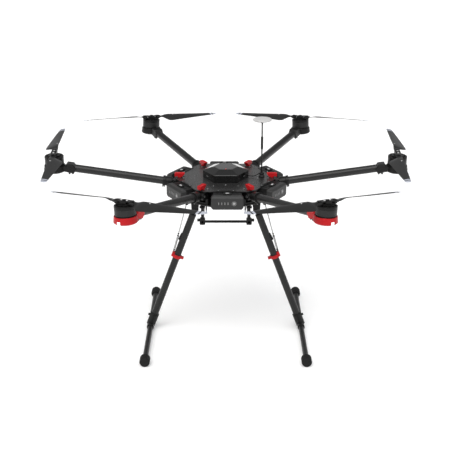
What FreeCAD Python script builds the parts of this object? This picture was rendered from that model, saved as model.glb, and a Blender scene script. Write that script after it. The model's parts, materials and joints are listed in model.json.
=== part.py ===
"""Folding six-rotor camera drone: one solid or group of solids per named piece.

Millimetres. The origin is on the ground below the hub's axis, +Z is up, -Y is the front
and +X the right-hand side. Repeated pieces are modelled once, lying along +X or upright
at the origin, and then set in place by loops.
"""
import FreeCAD, Part
import math
import os

V = FreeCAD.Vector
X_AXIS, Y_AXIS, Z_AXIS = V(1, 0, 0), V(0, 1, 0), V(0, 0, 1)
ORIGIN = V(0, 0, 0)

# ---- whole aircraft -----------------------------------------------------------------
MOTOR_CIRCLE_R = 566.5      # hub axis to each rotor axis
MOTOR_Z = 603.0             # lower rim of the motor bells
OVERALL_HEIGHT = 759.0      # ground to the top of the satellite antenna
ARM_NAMES = ["right", "rear_right", "rear_left", "left", "front_left", "front_right"]
BATTERY_NAMES = ["rear_right_bay", "rear_bay", "rear_left_bay",
                 "front_left_bay", "front_bay", "front_right_bay"]
ARM_STEP = 60.0             # degrees between neighbouring arms
GAP = 0.3                   # running gap between pieces of different bodies
FIT = 0.05                  # radial clearance of a pin in its hole

# ---- hub plates ---------------------------------------------------------------------
PLATE_CORNER_R = 176.0      # corner radius of the plates' hexagon before it is cut off
UPPER_CORNER_R = 168.0      # the upper plate's cut-off corners
LOWER_CORNER_R = 152.0      # the lower plate's, further in to let the arms fold
UPPER_PLATE_TOP = 560.0
UPPER_PLATE_T = 2.5
LOWER_PLATE_TOP = 508.0
LOWER_PLATE_T = 3.0
SLOT_GAP = 0.4              # battery to plate, above and below
PLATE_LIGHTENING_R = 9.0    # holes in the lower plate between the batteries
ACCESSORY_PITCH = 25.0      # square hole patterns for accessories
ACCESSORY_HOLE_R = 1.6
ACCESSORY_X = 112.0         # pattern centre on the upper plate, left of the cover
PAYLOAD_PITCH_X = 60.0      # four holes below the lower plate
PAYLOAD_PITCH_Y = 90.0
PAYLOAD_HOLE_R = 2.1

# ---- arms ---------------------------------------------------------------------------
ARM_RISE = 8.3              # degrees the arms climb outwards
ARM_TUBE_R = 13.0
ARM_TUBE_WALL = 1.5
ARM_PIVOT_R = 165.0         # hub axis to the folding pivot
ARM_PIVOT_Z = 541.5
ARM_TUBE_START = 15.0       # pivot to the tube's inner end
ARM_BARREL_R = 12.0
ARM_BARREL_W = 26.0
ARM_PIN_R = 3.0
SLEEVE_R = 16.0
SLEEVE_FROM = 13.0          # pivot to the sleeve's near face
SLEEVE_TO = 36.0
COLLAR_R = 17.5
COLLAR_W = 9.0
SOCKET_BACK_R = 137.0       # inner face of each arm's socket block
SOCKET_FRONT_R = 148.0
SOCKET_HALF_W = 18.5
MOTOR_END_GAP = 39.0        # arm tube's end to the rotor axis

# ---- motors and propellers ----------------------------------------------------------
ROTOR_TILT = 3.0            # sideways lean of each rotor, alternating round the hub
BELL_R = 31.5
BELL_H = 31.0
BELL_WALL = 3.0
BASE_R = 36.0
BASE_H = 22.0
LAMP_W = 10.5               # lamp window in the seat's outboard side
LAMP_TOP = 10.5             # seat's rim to the window's upper edge
NECK_LENGTH = 74.0          # rotor axis to the inner end of the motor clamp
NECK_WALL = 3.0
NECK_NOSE = 11.0            # length of the clamp's pointed inner end
STATOR_R = 25.0
SHAFT_R = 4.0
HUB_FLANGE_R = 20.0         # flange under the propeller hub
HUB_FLANGE_T = 2.5
HUB_H = 13.0
HUB_SCREW_AT = 9.5          # rotor axis to each of the hub's two cap screws
PROP_RADIUS = 266.5
BLADE_PIN_R = 2.0
BLADE_PIN_OFFSET = 25.0     # rotor axis to each blade's pin
BLADE_ROOT_T = 4.4
BLADE_ROOT_W = 18.0
BLADE_CHORD = 47.0          # widest chord
BLADE_TIP_CHORD = 18.0
BLADE_WIDEST = 0.20         # share of the blade's length from its pin to its widest chord
BLADE_ROOT_PITCH = 19.0
BLADE_TIP_PITCH = 7.0
BLADE_THICKNESS = 0.10      # section thickness over chord
# rest angle of each propeller about the hub's frame, and its sense (+1 anticlockwise)
PROP_ANGLES = [87.6, 155.0, 25.0, 92.4, -30.0, 210.0]
PROP_SENSES = [1, -1, 1, -1, 1, -1]

# ---- locks, cover and batteries -----------------------------------------------------
KNOB_R = 153.0              # hub axis to each lock knob's axis
KNOB_L = 34.0
KNOB_W = 14.0
KNOB_H = 14.5
KNOB_STEM_R = 5.0
COVER_CORNER_R = 76.0
COVER_TOP_R = 40.5
COVER_WALL_H = 25.0
COVER_H = 36.5
COVER_T = 2.0
BATTERY_W = 102.0
BATTERY_L = 100.0
BATTERY_FACE_R = 198.0      # hub axis to the battery's outer face
BATTERY_CAP_L = 20.0        # depth of the end cap
BATTERY_PACK_INSET = 4.8    # cap's side to the pack's
BATTERY_CAP_RAISE = 5.5     # pack's underside to the cap's
BATTERY_SLOPE = 6.0         # sloping strip along the cap's upper front edge
BATTERY_CHAMFER = 6.0
BATTERY_SHIFT = 5.0         # anticlockwise of the bay's middle line
BATTERY_LIGHT_RISE = 1.5    # cap lights and button above the middle of the slot
BATTERY_LIGHTS = [-27.2, -17.4, -7.6, 2.2]      # across the cap from its middle
BATTERY_BUTTON_Y = 21.5
CLIP_L = 13.5               # release clip on top, between the cap and the upper plate's edge
CLIP_W = 27.0
CLIP_H = 3.4

# ---- satellite antenna --------------------------------------------------------------
GPS_X = 119.0
GPS_PIVOT_H = 11.0          # pivot above the upper plate
GPS_ROD_R = 2.3
GPS_SLEEVE_R = 4.0
GPS_SLEEVE_FROM = 0.47       # grip sleeve's ends, as shares of the mast above its pivot
GPS_SLEEVE_TO = 0.70
GPS_DISC_R = 30.5
GPS_DISC_H = 7.0
GPS_PIN_R = 1.5
CABLE_R = 1.5

# ---- landing gear -------------------------------------------------------------------
GEAR_X = 103.0              # hub axis to the legs' pivots
GEAR_Z = 449.0
SKID_X = 264.0
FOOT_R = 17.0
FOOT_L = 32.0
SKID_R = 9.0
SKID_HALF = 284.6           # hub plane to the end of each skid
LEG_R = 12.0
LEG_WALL = 1.5
KNUCKLE_W = 28.0
KNUCKLE_R = 15.0
GEAR_PIN_R = 4.0
CLAMP_R = 15.5
SPRING_PIN = (179.0, 290.0)     # x and z of the spring's lower pin
SPRING_HOOK = (131.0, 469.0)    # x and z of the spring's upper hook
SPRING_PIN_R = 1.5
SPRING_COIL_R = 3.6
SPRING_WIRE_R = 0.8
SPRING_TURNS = 14
TEE_R = 12.5
TEE_HALF = 29.0

# ---- payload rails ------------------------------------------------------------------
RAIL_X = 76.0
RAIL_Z = 440.5
RAIL_R = 5.0
RAIL_HALF = 112.0
CROSSBAR_Y = 105.0
CROSSBAR_R = 4.3


# ---- helpers ------------------------------------------------------------------------
def block(low, high):
    """A box from its low to its high corner."""
    size = [h - l for l, h in zip(low, high)]
    return Part.makeBox(*size, V(*low))


def rod(radius, start, end):
    """A cylinder between two points."""
    start, end = V(*start), V(*end)
    return Part.makeCylinder(radius, (end - start).Length, start, end - start)


def pipe(outer, inner, start, end):
    """A hollow cylinder between two points."""
    return rod(outer, start, end).cut(rod(inner, start, end))


def cone(r_start, r_end, start, end):
    """A truncated cone between two points."""
    start, end = V(*start), V(*end)
    return Part.makeCone(r_start, r_end, (end - start).Length, start, end - start)


def plate(points, z_low, z_high):
    """A flat plate with a polygon outline seen from above."""
    corners = [V(x, y, z_low) for x, y in points]
    face = Part.Face(Part.makePolygon(corners + corners[:1]))
    return face.extrude(V(0, 0, z_high - z_low))


def side_plate(points, y_low, y_high):
    """A flat plate with a polygon outline of x and z, seen along Y."""
    corners = [V(x, y_low, z) for x, z in points]
    face = Part.Face(Part.makePolygon(corners + corners[:1]))
    return face.extrude(V(0, y_high - y_low, 0))


def fuse(first, *others):
    """One solid from touching pieces, without the seams between them."""
    return first.fuse(list(others)).removeSplitter()


def turned(shape, degrees, axis=Z_AXIS, about=ORIGIN):
    """A copy turned about an axis through a point."""
    copy = shape.copy()
    copy.rotate(about, axis, degrees)
    return copy


def moved(shape, x, y, z):
    """A copy moved by x, y and z."""
    copy = shape.copy()
    copy.translate(V(x, y, z))
    return copy


def rounded(shape, radius, test):
    """Fillet the edges that the test picks, less where the wall is thin."""
    edges = [e for e in shape.Edges if test(e)]
    return shape.makeFillet(radius, edges) if edges else shape


def end_plate(points, x_low, x_high):
    """A flat plate with a polygon outline of y and z, seen along X."""
    corners = [V(x_low, y, z) for y, z in points]
    face = Part.Face(Part.makePolygon(corners + corners[:1]))
    return face.extrude(V(x_high - x_low, 0, 0))


def chamfered(shape, size, test):
    """Chamfer the edges that the test picks."""
    edges = [e for e in shape.Edges if test(e)]
    return shape.makeChamfer(size, edges) if edges else shape


def upright(edge):
    """True for a straight edge along Z."""
    ends = [v.Point for v in edge.Vertexes]
    return len(ends) == 2 and abs(ends[0].x - ends[1].x) + abs(ends[0].y - ends[1].y) < 1e-6


def level_at(height):
    """A test for edges that lie at one height."""
    return lambda e: all(abs(v.Point.z - height) < 1e-4 for v in e.Vertexes)


def cut_hexagon(corner_r, cut_r):
    """A hexagon with corners at the arms, each cut off square at cut_r."""
    points = []
    side = (corner_r - cut_r) * math.tan(math.radians(60))
    for k in range(6):
        a = math.radians(ARM_STEP * k)
        for t in (-side, side):
            points.append((cut_r * math.cos(a) - t * math.sin(a),
                           cut_r * math.sin(a) + t * math.cos(a)))
    return points


def hexagon(radius):
    """Hexagon corners at the arms' directions."""
    return [(radius * math.cos(math.radians(60 * k)), radius * math.sin(math.radians(60 * k)))
            for k in range(6)]


def save(name, *solids):
    """Write one node from its separate solids."""
    shape = solids[0] if len(solids) == 1 else Part.makeCompound(list(solids))
    shape.exportStep("parts/%s.step" % name)


# ---- places that several pieces share -----------------------------------------------
UPPER_PLATE_BOTTOM = UPPER_PLATE_TOP - UPPER_PLATE_T
LOWER_PLATE_BOTTOM = LOWER_PLATE_TOP - LOWER_PLATE_T
RISE = math.radians(ARM_RISE)
ARM_REACH = (MOTOR_CIRCLE_R - MOTOR_END_GAP - ARM_PIVOT_R) / math.cos(RISE)
ACCESSORY_CENTRES = [(-ACCESSORY_X, 0)]
PLATE_SCREWS = [(r, a + side) for a in range(0, 360, 60) for r, side in ((141.0, 5.6), (141.0, -5.6))]
ELECTRONICS_R = 84.0
STANDOFF_R = 93.0


def arm_line_z(r):
    """Height of an arm tube's axis at a distance from the hub's axis."""
    return ARM_PIVOT_Z + (r - ARM_PIVOT_R) * math.tan(RISE)


def square_pattern(cx, cy, pitch_x, pitch_y):
    """Centres of four holes."""
    return [(cx + sx * pitch_x / 2, cy + sy * pitch_y / 2) for sx in (-1, 1) for sy in (-1, 1)]


# ---- hub ----------------------------------------------------------------------------
def upper_plate():
    """Carbon top plate with knob, screw and accessory holes."""
    shape = plate(cut_hexagon(PLATE_CORNER_R, UPPER_CORNER_R), UPPER_PLATE_BOTTOM, UPPER_PLATE_TOP)
    shape = rounded(shape, 4.0, upright)
    low, high = UPPER_PLATE_BOTTOM - 1, UPPER_PLATE_TOP + 1
    holes = []
    for k in range(6):
        holes.append(turned(rod(KNOB_STEM_R + GAP, (KNOB_R, 0, low), (KNOB_R, 0, high)), 60 * k))
    for r, a in PLATE_SCREWS:
        holes.append(turned(rod(1.6, (r, 0, low), (r, 0, high)), a))
    for cx, cy in ACCESSORY_CENTRES:
        for x, y in square_pattern(cx, cy, ACCESSORY_PITCH, ACCESSORY_PITCH):
            holes.append(rod(ACCESSORY_HOLE_R, (x, y, low), (x, y, high)))
    return shape.cut(holes)


def lower_plate():
    """Carbon bottom plate with lightening and payload holes."""
    shape = plate(cut_hexagon(PLATE_CORNER_R, LOWER_CORNER_R), LOWER_PLATE_BOTTOM, LOWER_PLATE_TOP)
    shape = rounded(shape, 4.0, upright)
    low, high = LOWER_PLATE_BOTTOM - 1, LOWER_PLATE_TOP + 1
    holes = [rod(PAYLOAD_HOLE_R, (x, y, low), (x, y, high))
             for x, y in square_pattern(0, 0, PAYLOAD_PITCH_X, PAYLOAD_PITCH_Y)]
    for k in range(6):
        middle = turned(rod(PLATE_LIGHTENING_R, (124, 0, low), (124, 0, high)), 60 * k + 30)
        holes.append(middle)
    for r, a in PLATE_SCREWS:
        holes.append(turned(rod(1.6, (r, 0, low), (r, 0, high)), a))
    return shape.cut(holes)


def arm_socket():
    """Block between the plates whose two cheeks carry an arm's pivot pin."""
    low, high = LOWER_PLATE_TOP, UPPER_PLATE_BOTTOM
    body = block((SOCKET_BACK_R, -SOCKET_HALF_W, low), (SOCKET_FRONT_R, SOCKET_HALF_W, high))
    half = ARM_BARREL_W / 2 + GAP
    cheeks = []
    for s in (-1, 1):
        y0, y1 = sorted((s * half, s * SOCKET_HALF_W))
        ear = rod(ARM_BARREL_R, (ARM_PIVOT_R, y0, ARM_PIVOT_Z), (ARM_PIVOT_R, y1, ARM_PIVOT_Z))
        web = block((SOCKET_FRONT_R - 1, y0, ARM_PIVOT_Z - ARM_BARREL_R), (ARM_PIVOT_R, y1, high))
        cheeks += [ear, web]
    body = fuse(body, *cheeks)
    pin = rod(ARM_PIN_R, (ARM_PIVOT_R, -30, ARM_PIVOT_Z), (ARM_PIVOT_R, 30, ARM_PIVOT_Z))
    window = block((SOCKET_BACK_R - 1, -11, low + 7), (SOCKET_FRONT_R + 1, 11, ARM_PIVOT_Z - 16))
    screws = [turned(rod(1.6, (r, 0, high - 12), (r, 0, high + 1)), a) for r, a in PLATE_SCREWS[:2]]
    screws += [turned(rod(1.6, (r, 0, low - 1), (r, 0, low + 6)), a) for r, a in PLATE_SCREWS[:2]]
    return body.cut([pin, window] + screws)


def hub_frame():
    """Six arm sockets and six standoffs between the plates."""
    solids = []
    for k in range(6):
        solids.append(turned(arm_socket(), 60 * k))
        spacer = pipe(4.0, 1.6, (STANDOFF_R, 0, LOWER_PLATE_TOP), (STANDOFF_R, 0, UPPER_PLATE_BOTTOM))
        solids.append(turned(spacer, 60 * k))
    return solids


def electronics():
    """Flight controller, power board and its capacitors between the plates."""
    low = LOWER_PLATE_TOP
    board = plate(hexagon(ELECTRONICS_R), low + 6, low + 8)
    feet = [rod(3.0, (x, y, low), (x, y, low + 6)) for x, y in square_pattern(0, 0, 90, 70)]
    case = chamfered(block((-36, -30, low + 8), (36, 30, low + 36)), 2.5, upright)
    cans = [rod(5.0, (x, 44, low + 8), (x, 44, low + 28)) for x in (-24, -8, 8, 24)]
    plugs = [block((x - 8, -52, low + 8), (x + 8, -40, low + 20)) for x in (-22, 0, 22)]
    lens_z = UPPER_PLATE_TOP + COVER_H
    lens = rod(1.5, (0, -COVER_TOP_R * 0.74, lens_z - 4), (0, -COVER_TOP_R * 0.74, lens_z + 0.6))
    return [board, case, lens] + feet + cans + plugs


def dome(corner_r, top_r, wall_h, height, base_z):
    """Hexagonal dome: upright walls, then facets that slope in to a flat top."""
    def outline(radius, z):
        points = [V(x, y, z) for x, y in hexagon(radius)]
        return Part.makePolygon(points + points[:1])
    walls = Part.makeLoft([outline(corner_r, base_z), outline(corner_r, base_z + wall_h)], True, True)
    roof = Part.makeLoft([outline(corner_r, base_z + wall_h), outline(top_r, base_z + height)], True, True)
    return fuse(walls, roof)


def top_cover():
    """Glossy shell over the middle of the upper plate, with side vents."""
    base = UPPER_PLATE_TOP
    outer = rounded(dome(COVER_CORNER_R, COVER_TOP_R, COVER_WALL_H, COVER_H, base), 3.0, upright)
    inner = dome(COVER_CORNER_R - COVER_T * 1.2, COVER_TOP_R - COVER_T, COVER_WALL_H - COVER_T / 2,
                 COVER_H - COVER_T, base)
    cuts = [inner]
    flat = COVER_CORNER_R * math.cos(math.radians(30))
    for k in range(6):
        for z in (8, 12, 16):
            slit = block((flat - 6, 14, base + z), (flat + 4, 26, base + z + 1.8))
            cuts.append(turned(slit, 60 * k + 30))
    lens_y = -COVER_TOP_R * 0.74
    cuts.append(rod(1.7, (0, lens_y, base + COVER_H - 6), (0, lens_y, base + COVER_H + 2)))
    cuts.append(rod(CABLE_R, (COVER_CORNER_R - 12, 0, base + 5), (COVER_CORNER_R + 4, 0, base + 5)))
    return outer.cut(cuts)


def fasteners():
    """The arms' pivot pins and the plates' screws."""
    solids = []
    for k in range(6):
        pin = rod(ARM_PIN_R, (ARM_PIVOT_R, -SOCKET_HALF_W, ARM_PIVOT_Z),
                  (ARM_PIVOT_R, SOCKET_HALF_W, ARM_PIVOT_Z))
        heads = [rod(ARM_PIN_R + 1.5, (ARM_PIVOT_R, s * SOCKET_HALF_W, ARM_PIVOT_Z),
                     (ARM_PIVOT_R, s * (SOCKET_HALF_W + 1.6), ARM_PIVOT_Z)) for s in (-1, 1)]
        solids.append(turned(fuse(pin, *heads), 60 * k))
    for r, a in PLATE_SCREWS:
        top = fuse(rod(1.6, (r, 0, UPPER_PLATE_BOTTOM - 9), (r, 0, UPPER_PLATE_TOP)),
                   rod(2.9, (r, 0, UPPER_PLATE_TOP), (r, 0, UPPER_PLATE_TOP + 1.7)))
        under = fuse(rod(1.6, (r, 0, LOWER_PLATE_BOTTOM), (r, 0, LOWER_PLATE_TOP + 5)),
                     rod(2.9, (r, 0, LOWER_PLATE_BOTTOM - 1.7), (r, 0, LOWER_PLATE_BOTTOM)))
        for screw in (top, under):
            solids.append(turned(screw, a))
    return solids


def lock_knob():
    """Quarter-turn lock on the plate above an arm, lying along +X at the origin."""
    base_z = UPPER_PLATE_TOP + GAP
    top_z = base_z + KNOB_H
    half_l, half_w = KNOB_L / 2, KNOB_W / 2
    lever = plate([(-half_l, -half_w + 2.5), (-half_l + 3, -half_w), (half_l - 6, -half_w),
                   (half_l, -half_w + 3.5), (half_l, half_w - 3.5), (half_l - 6, half_w),
                   (-half_l + 3, half_w), (-half_l, half_w - 2.5)], base_z + 2.2, top_z)
    lever = chamfered(lever, 1.6, level_at(top_z))
    grip = block((-half_l + 5, -2.2, top_z - 3), (half_l - 8, 2.2, top_z + 1))
    skirt = rod(half_w + 1.5, (0, 0, base_z), (0, 0, base_z + 2.2))
    stem = rod(KNOB_STEM_R, (0, 0, UPPER_PLATE_BOTTOM - 2.2), (0, 0, base_z))
    return moved(fuse(lever, skirt, stem).cut(grip), KNOB_R, 0, 0)


def arm():
    """Carbon tube with its folding barrel, sleeve and clamping collar, along +X."""
    tube = pipe(ARM_TUBE_R, ARM_TUBE_R - ARM_TUBE_WALL, (ARM_TUBE_START, 0, 0), (ARM_REACH, 0, 0))
    barrel = rod(ARM_BARREL_R, (0, -ARM_BARREL_W / 2, 0), (0, ARM_BARREL_W / 2, 0))
    neck = block((0, -9, -9), (SLEEVE_FROM + 3, 9, 9))
    sleeve = rod(SLEEVE_R, (SLEEVE_FROM, 0, 0), (SLEEVE_TO, 0, 0))
    collar = rod(COLLAR_R, (SLEEVE_TO, 0, 0), (SLEEVE_TO + COLLAR_W, 0, 0))
    lug = block((SLEEVE_TO, -4.5, COLLAR_R - 3), (SLEEVE_TO + COLLAR_W, 4.5, COLLAR_R + 3.5))
    fitting = fuse(barrel, neck, sleeve, collar, lug)
    hole = rod(ARM_PIN_R + FIT, (0, -20, 0), (0, 20, 0))
    bore = rod(ARM_TUBE_R, (ARM_TUBE_START, 0, 0), (SLEEVE_TO + COLLAR_W + 1, 0, 0))
    slit = block((SLEEVE_TO + 1.5, -0.5, ARM_TUBE_R - 1), (SLEEVE_TO + COLLAR_W + 1, 0.5, COLLAR_R + 5))
    fitting = fitting.cut([hole, bore, slit])
    parts = [turned(p, -ARM_RISE, Y_AXIS) for p in (tube, fitting)]
    return [moved(p, ARM_PIVOT_R, 0, ARM_PIVOT_Z) for p in parts]


# ---- motors -------------------------------------------------------------------------
def seat_body():
    """Outer shape of a motor seat, below the rotor's origin."""
    low, high = -GAP - BASE_H, -GAP
    return fuse(cone(BASE_R, BASE_R - 2, (0, 0, low + 4), (0, 0, high)),
                cone(BASE_R - 3, BASE_R, (0, 0, low), (0, 0, low + 4)))


def lamp_block():
    """Space of the lamp window, open at the seat's lower edge."""
    return block((BASE_R - 6, -LAMP_W / 2, -GAP - BASE_H - 1), (BASE_R + 3, LAMP_W / 2, -GAP - LAMP_TOP))


def motor_base():
    """Motor seat with its stator and the clamp that holds it on the arm tube, along +X.

    Two solids at the rotor's own origin, before the rotor's lean: the seat, then the clamp,
    which follows the arm instead and stays level.
    """
    rim = -GAP
    seat = seat_body()
    stator = rod(STATOR_R, (0, 0, rim), (0, 0, BELL_H - BELL_WALL - 3))
    bore = rod(SHAFT_R + FIT, (0, 0, rim - BASE_H + 5), (0, 0, BELL_H))
    slots = [turned(block((15, -1.6, 3), (STATOR_R + 1, 1.6, BELL_H)), 30 * k) for k in range(12)]
    return fuse(seat, stator).cut([bore, lamp_block()] + slots)


def lamp_window():
    """Clear lamp window set flush in the outboard side of a motor seat."""
    return lamp_block().common(seat_body())


def motor_clamp():
    """Neck that clamps the motor seat on the end of the arm tube, in the hub's frame."""
    r_in, r_out = MOTOR_CIRCLE_R - NECK_LENGTH, MOTOR_CIRCLE_R - BASE_R + 8
    half = ARM_TUBE_R + NECK_WALL
    nose = r_in + NECK_NOSE
    seat_low = MOTOR_Z - GAP - BASE_H
    outline = [(r_in, arm_line_z(r_in)), (nose, arm_line_z(nose) - half), (r_out - 12, seat_low),
               (r_out, seat_low + 2),
               (r_out, MOTOR_Z - 3.5), (MOTOR_CIRCLE_R - BASE_R - 3, MOTOR_Z - 3.5),
               (MOTOR_CIRCLE_R - BASE_R - 5, arm_line_z(MOTOR_CIRCLE_R - BASE_R) + half - 3),
               (nose, arm_line_z(nose) + half)]
    neck = side_plate(outline, -half, half)
    neck = chamfered(neck, 3.0, lambda e: abs(abs(e.CenterOfMass.y) - half) < 1e-6
                     and e.CenterOfMass.x < MOTOR_CIRCLE_R - BASE_R and e.Length > 15)
    start, end = 0.8 * r_in, MOTOR_CIRCLE_R - MOTOR_END_GAP
    bore = rod(ARM_TUBE_R, (start, 0, arm_line_z(start)), (end, 0, arm_line_z(end)))
    screws = [pipe(3.2, 1.4, (r, s * 9, arm_line_z(r) - half - 2.5), (r, s * 9, arm_line_z(r) - half + 3))
              for s in (-1, 1) for r in (nose + 3, nose + 14)]
    return neck.fuse(screws).cut(bore).removeSplitter()


def rotor():
    """Motor bell with its shaft and the propeller hub on top, at the rotor's origin."""
    top = BELL_H
    bell = rod(BELL_R, (0, 0, 0), (0, 0, top))
    bell = rounded(bell, 2.5, level_at(top))
    bell = bell.cut(rod(BELL_R - BELL_WALL, (0, 0, -1), (0, 0, top - BELL_WALL)))
    vents = [turned(rod(3.1, (23.0, 0, top - 5), (23.0, 0, top + 1)), 30 * k + 15) for k in range(12)]
    bell = bell.cut(vents)
    shaft = rod(SHAFT_R, (0, 0, -GAP - BASE_H + 6), (0, 0, top))
    reach = BLADE_PIN_OFFSET + 8.5
    flange = rod(HUB_FLANGE_R, (0, 0, top), (0, 0, top + HUB_FLANGE_T))
    bars = []
    clear = (HUB_H - HUB_FLANGE_T - BLADE_ROOT_T - 2 * GAP) / 2
    for z in (top + HUB_FLANGE_T - 0.01, top + HUB_H - clear):
        bar = block((-reach + 9, -9.5, z), (reach - 9, 9.5, z + clear))
        ends = [rod(9.0, (s * BLADE_PIN_OFFSET, 0, z), (s * BLADE_PIN_OFFSET, 0, z + clear))
                for s in (-1, 1)]
        bars += [bar] + ends
    core = block((-11, -9.5, top), (11, 9.5, top + HUB_H))
    cap = rod(9.0, (0, 0, top + HUB_H), (0, 0, top + HUB_H + 2.0))
    pins = [rod(BLADE_PIN_R, (s * BLADE_PIN_OFFSET, 0, top + 2.5), (s * BLADE_PIN_OFFSET, 0, top + HUB_H))
            for s in (-1, 1)]
    heads = [rod(r, (s * x, 0, top + HUB_H), (s * x, 0, top + HUB_H + h)) for s in (-1, 1)
             for x, r, h in ((BLADE_PIN_OFFSET, 4.2, 1.2), (HUB_SCREW_AT, 3.0, 3.2))]
    return fuse(bell, shaft, flange, core, cap, *(bars + pins + heads))


def blade_section(x, chord, thickness, pitch, lead_y):
    """Closed section across a blade at x, leading edge towards +Y."""
    outline = [(0.0, 0.0), (0.03, 0.36), (0.12, 0.70), (0.30, 0.94), (0.50, 0.86), (0.72, 0.56),
               (0.90, 0.22), (1.0, 0.02), (0.99, -0.10), (0.80, -0.06), (0.50, -0.14),
               (0.25, -0.28), (0.08, -0.34), (0.02, -0.22)]
    swing = math.radians(pitch)
    points = []
    for along, up in outline:
        y, z = (0.42 - along) * chord, up * thickness * 0.55
        points.append(V(x, y * math.cos(swing) - z * math.sin(swing) + lead_y - 0.42 * chord,
                        y * math.sin(swing) + z * math.cos(swing)))
    return Part.makePolygon(points + points[:1])


def blade():
    """One folding blade along +X from its pin at the origin, leading edge towards +Y."""
    span = PROP_RADIUS - BLADE_PIN_OFFSET
    lead = BLADE_ROOT_W / 2
    root_x, widest_x = 9.0, BLADE_WIDEST * span
    stations = [(root_x, BLADE_ROOT_W, 0.95 * BLADE_ROOT_T, 3.0),
                (0.07 * span, BLADE_ROOT_W + 1, BLADE_ROOT_T, 8.0),
                (0.105 * span, 0.64 * BLADE_CHORD, BLADE_ROOT_T, 15.0),
                (0.15 * span, 0.96 * BLADE_CHORD, BLADE_ROOT_T, BLADE_ROOT_PITCH)]
    for f in (BLADE_WIDEST, 0.30, 0.42, 0.58, 0.78, 0.94):
        share = (f * span - widest_x) / (span - widest_x)
        chord = BLADE_CHORD + (BLADE_TIP_CHORD - BLADE_CHORD) * share
        pitch = BLADE_ROOT_PITCH + (BLADE_TIP_PITCH - BLADE_ROOT_PITCH) * share
        stations.append((f * span, chord, BLADE_THICKNESS * chord, pitch))
    stations.append((0.985 * span, 0.75 * BLADE_TIP_CHORD, 0.085 * BLADE_TIP_CHORD, BLADE_TIP_PITCH))
    stations.append((span, 0.38 * BLADE_TIP_CHORD, 0.05 * BLADE_TIP_CHORD, BLADE_TIP_PITCH))
    wires = []
    for x, chord, thickness, pitch in stations:
        droop = 0.0 if x < 0.97 * span else 0.12 * BLADE_TIP_CHORD
        wires.append(blade_section(x, chord, thickness, pitch, lead - droop))
    wing = Part.makeLoft(wires, True, True)
    eye = rod(BLADE_ROOT_W / 2, (0, 0, -BLADE_ROOT_T / 2), (0, 0, BLADE_ROOT_T / 2))
    half_w, half_t = BLADE_ROOT_W / 2 - 1, BLADE_ROOT_T / 2
    tongue = block((0, -half_w, -half_t), (root_x + 5, half_w, half_t))
    hole = rod(BLADE_PIN_R + FIT, (0, 0, -9), (0, 0, 9))
    return wing.fuse([eye, tongue]).removeSplitter().cut(hole)


BLADE_PLANE = BELL_H + 2.5 + (HUB_H - 2.5) / 2      # blade roots above the bell's rim


# ---- batteries ----------------------------------------------------------------------
def battery():
    """Slide-in battery along +X: pack, chamfered end cap, button and level lights."""
    low = LOWER_PLATE_TOP + SLOT_GAP
    high = UPPER_PLATE_BOTTOM - SLOT_GAP
    half = BATTERY_W / 2
    back, face = BATTERY_FACE_R - BATTERY_L, BATTERY_FACE_R
    cap_l, cap_low = BATTERY_CAP_L, low + BATTERY_CAP_RAISE
    side = half - BATTERY_PACK_INSET
    pack = block((back, -side, low), (face - cap_l, side, high))
    grooves = [block((back + 18, y - 1.5, high - 1.2), (face - cap_l - 4, y + 1.5, high + 1))
               for y in (-32, -16, 0, 16, 32)]
    clip = block((face - cap_l - CLIP_L, -CLIP_W / 2, high - 2), (face - cap_l, CLIP_W / 2, high + CLIP_H))
    clip = chamfered(clip, 1.2, level_at(high + CLIP_H))
    pack = fuse(pack.cut(grooves), clip)
    slope = BATTERY_SLOPE
    cap = side_plate([(face - cap_l, cap_low), (face, cap_low), (face, high - slope), (face - slope, high),
                      (face - cap_l, high)], -half, half)
    cut = BATTERY_CHAMFER
    cap = cap.common(end_plate([(-half, cap_low + cut), (-half + cut, cap_low), (half - cut, cap_low),
                                (half, cap_low + cut), (half, high - cut + 1), (half - cut + 1, high),
                                (-half + cut - 1, high), (-half, high - cut + 1)],
                               face - cap_l, face))
    middle = (low + high) / 2 + BATTERY_LIGHT_RISE
    button_y = BATTERY_BUTTON_Y
    button_seat = rod(7.4, (face - 1.6, button_y, middle), (face + 2, button_y, middle))
    slots = [block((face - 0.8, y - 1.4, middle - 5), (face + 1, y + 1.4, middle + 5))
             for y in BATTERY_LIGHTS]
    finger = block((face - cap_l + 3, -24, high - 3), (face - slope - 3, 24, high + 1))
    cap = cap.cut([button_seat, finger] + slots)
    button = rod(6.8, (face - 1.6, button_y, middle), (face - 0.2, button_y, middle))
    return [moved(p, 0, BATTERY_SHIFT, 0) for p in (pack, cap, button)]


# ---- landing gear -------------------------------------------------------------------
LEG_DROP = math.hypot(SKID_X - GEAR_X, GEAR_Z - FOOT_R)
LEG_LEAN = math.degrees(math.atan2(SKID_X - GEAR_X, GEAR_Z - FOOT_R))


def on_leg(shape):
    """From the upright leg frame, pivot at the origin, to the right leg's real place."""
    return moved(turned(shape, -LEG_LEAN, Y_AXIS), GEAR_X, 0, GEAR_Z)


def leg_offset(x, z):
    """A point of the y = 0 plane as distances outwards from and down the right leg."""
    dx, dz = x - GEAR_X, z - GEAR_Z
    lean = math.radians(LEG_LEAN)
    return (dx * math.cos(lean) + dz * math.sin(lean), dx * math.sin(lean) - dz * math.cos(lean))


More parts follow.
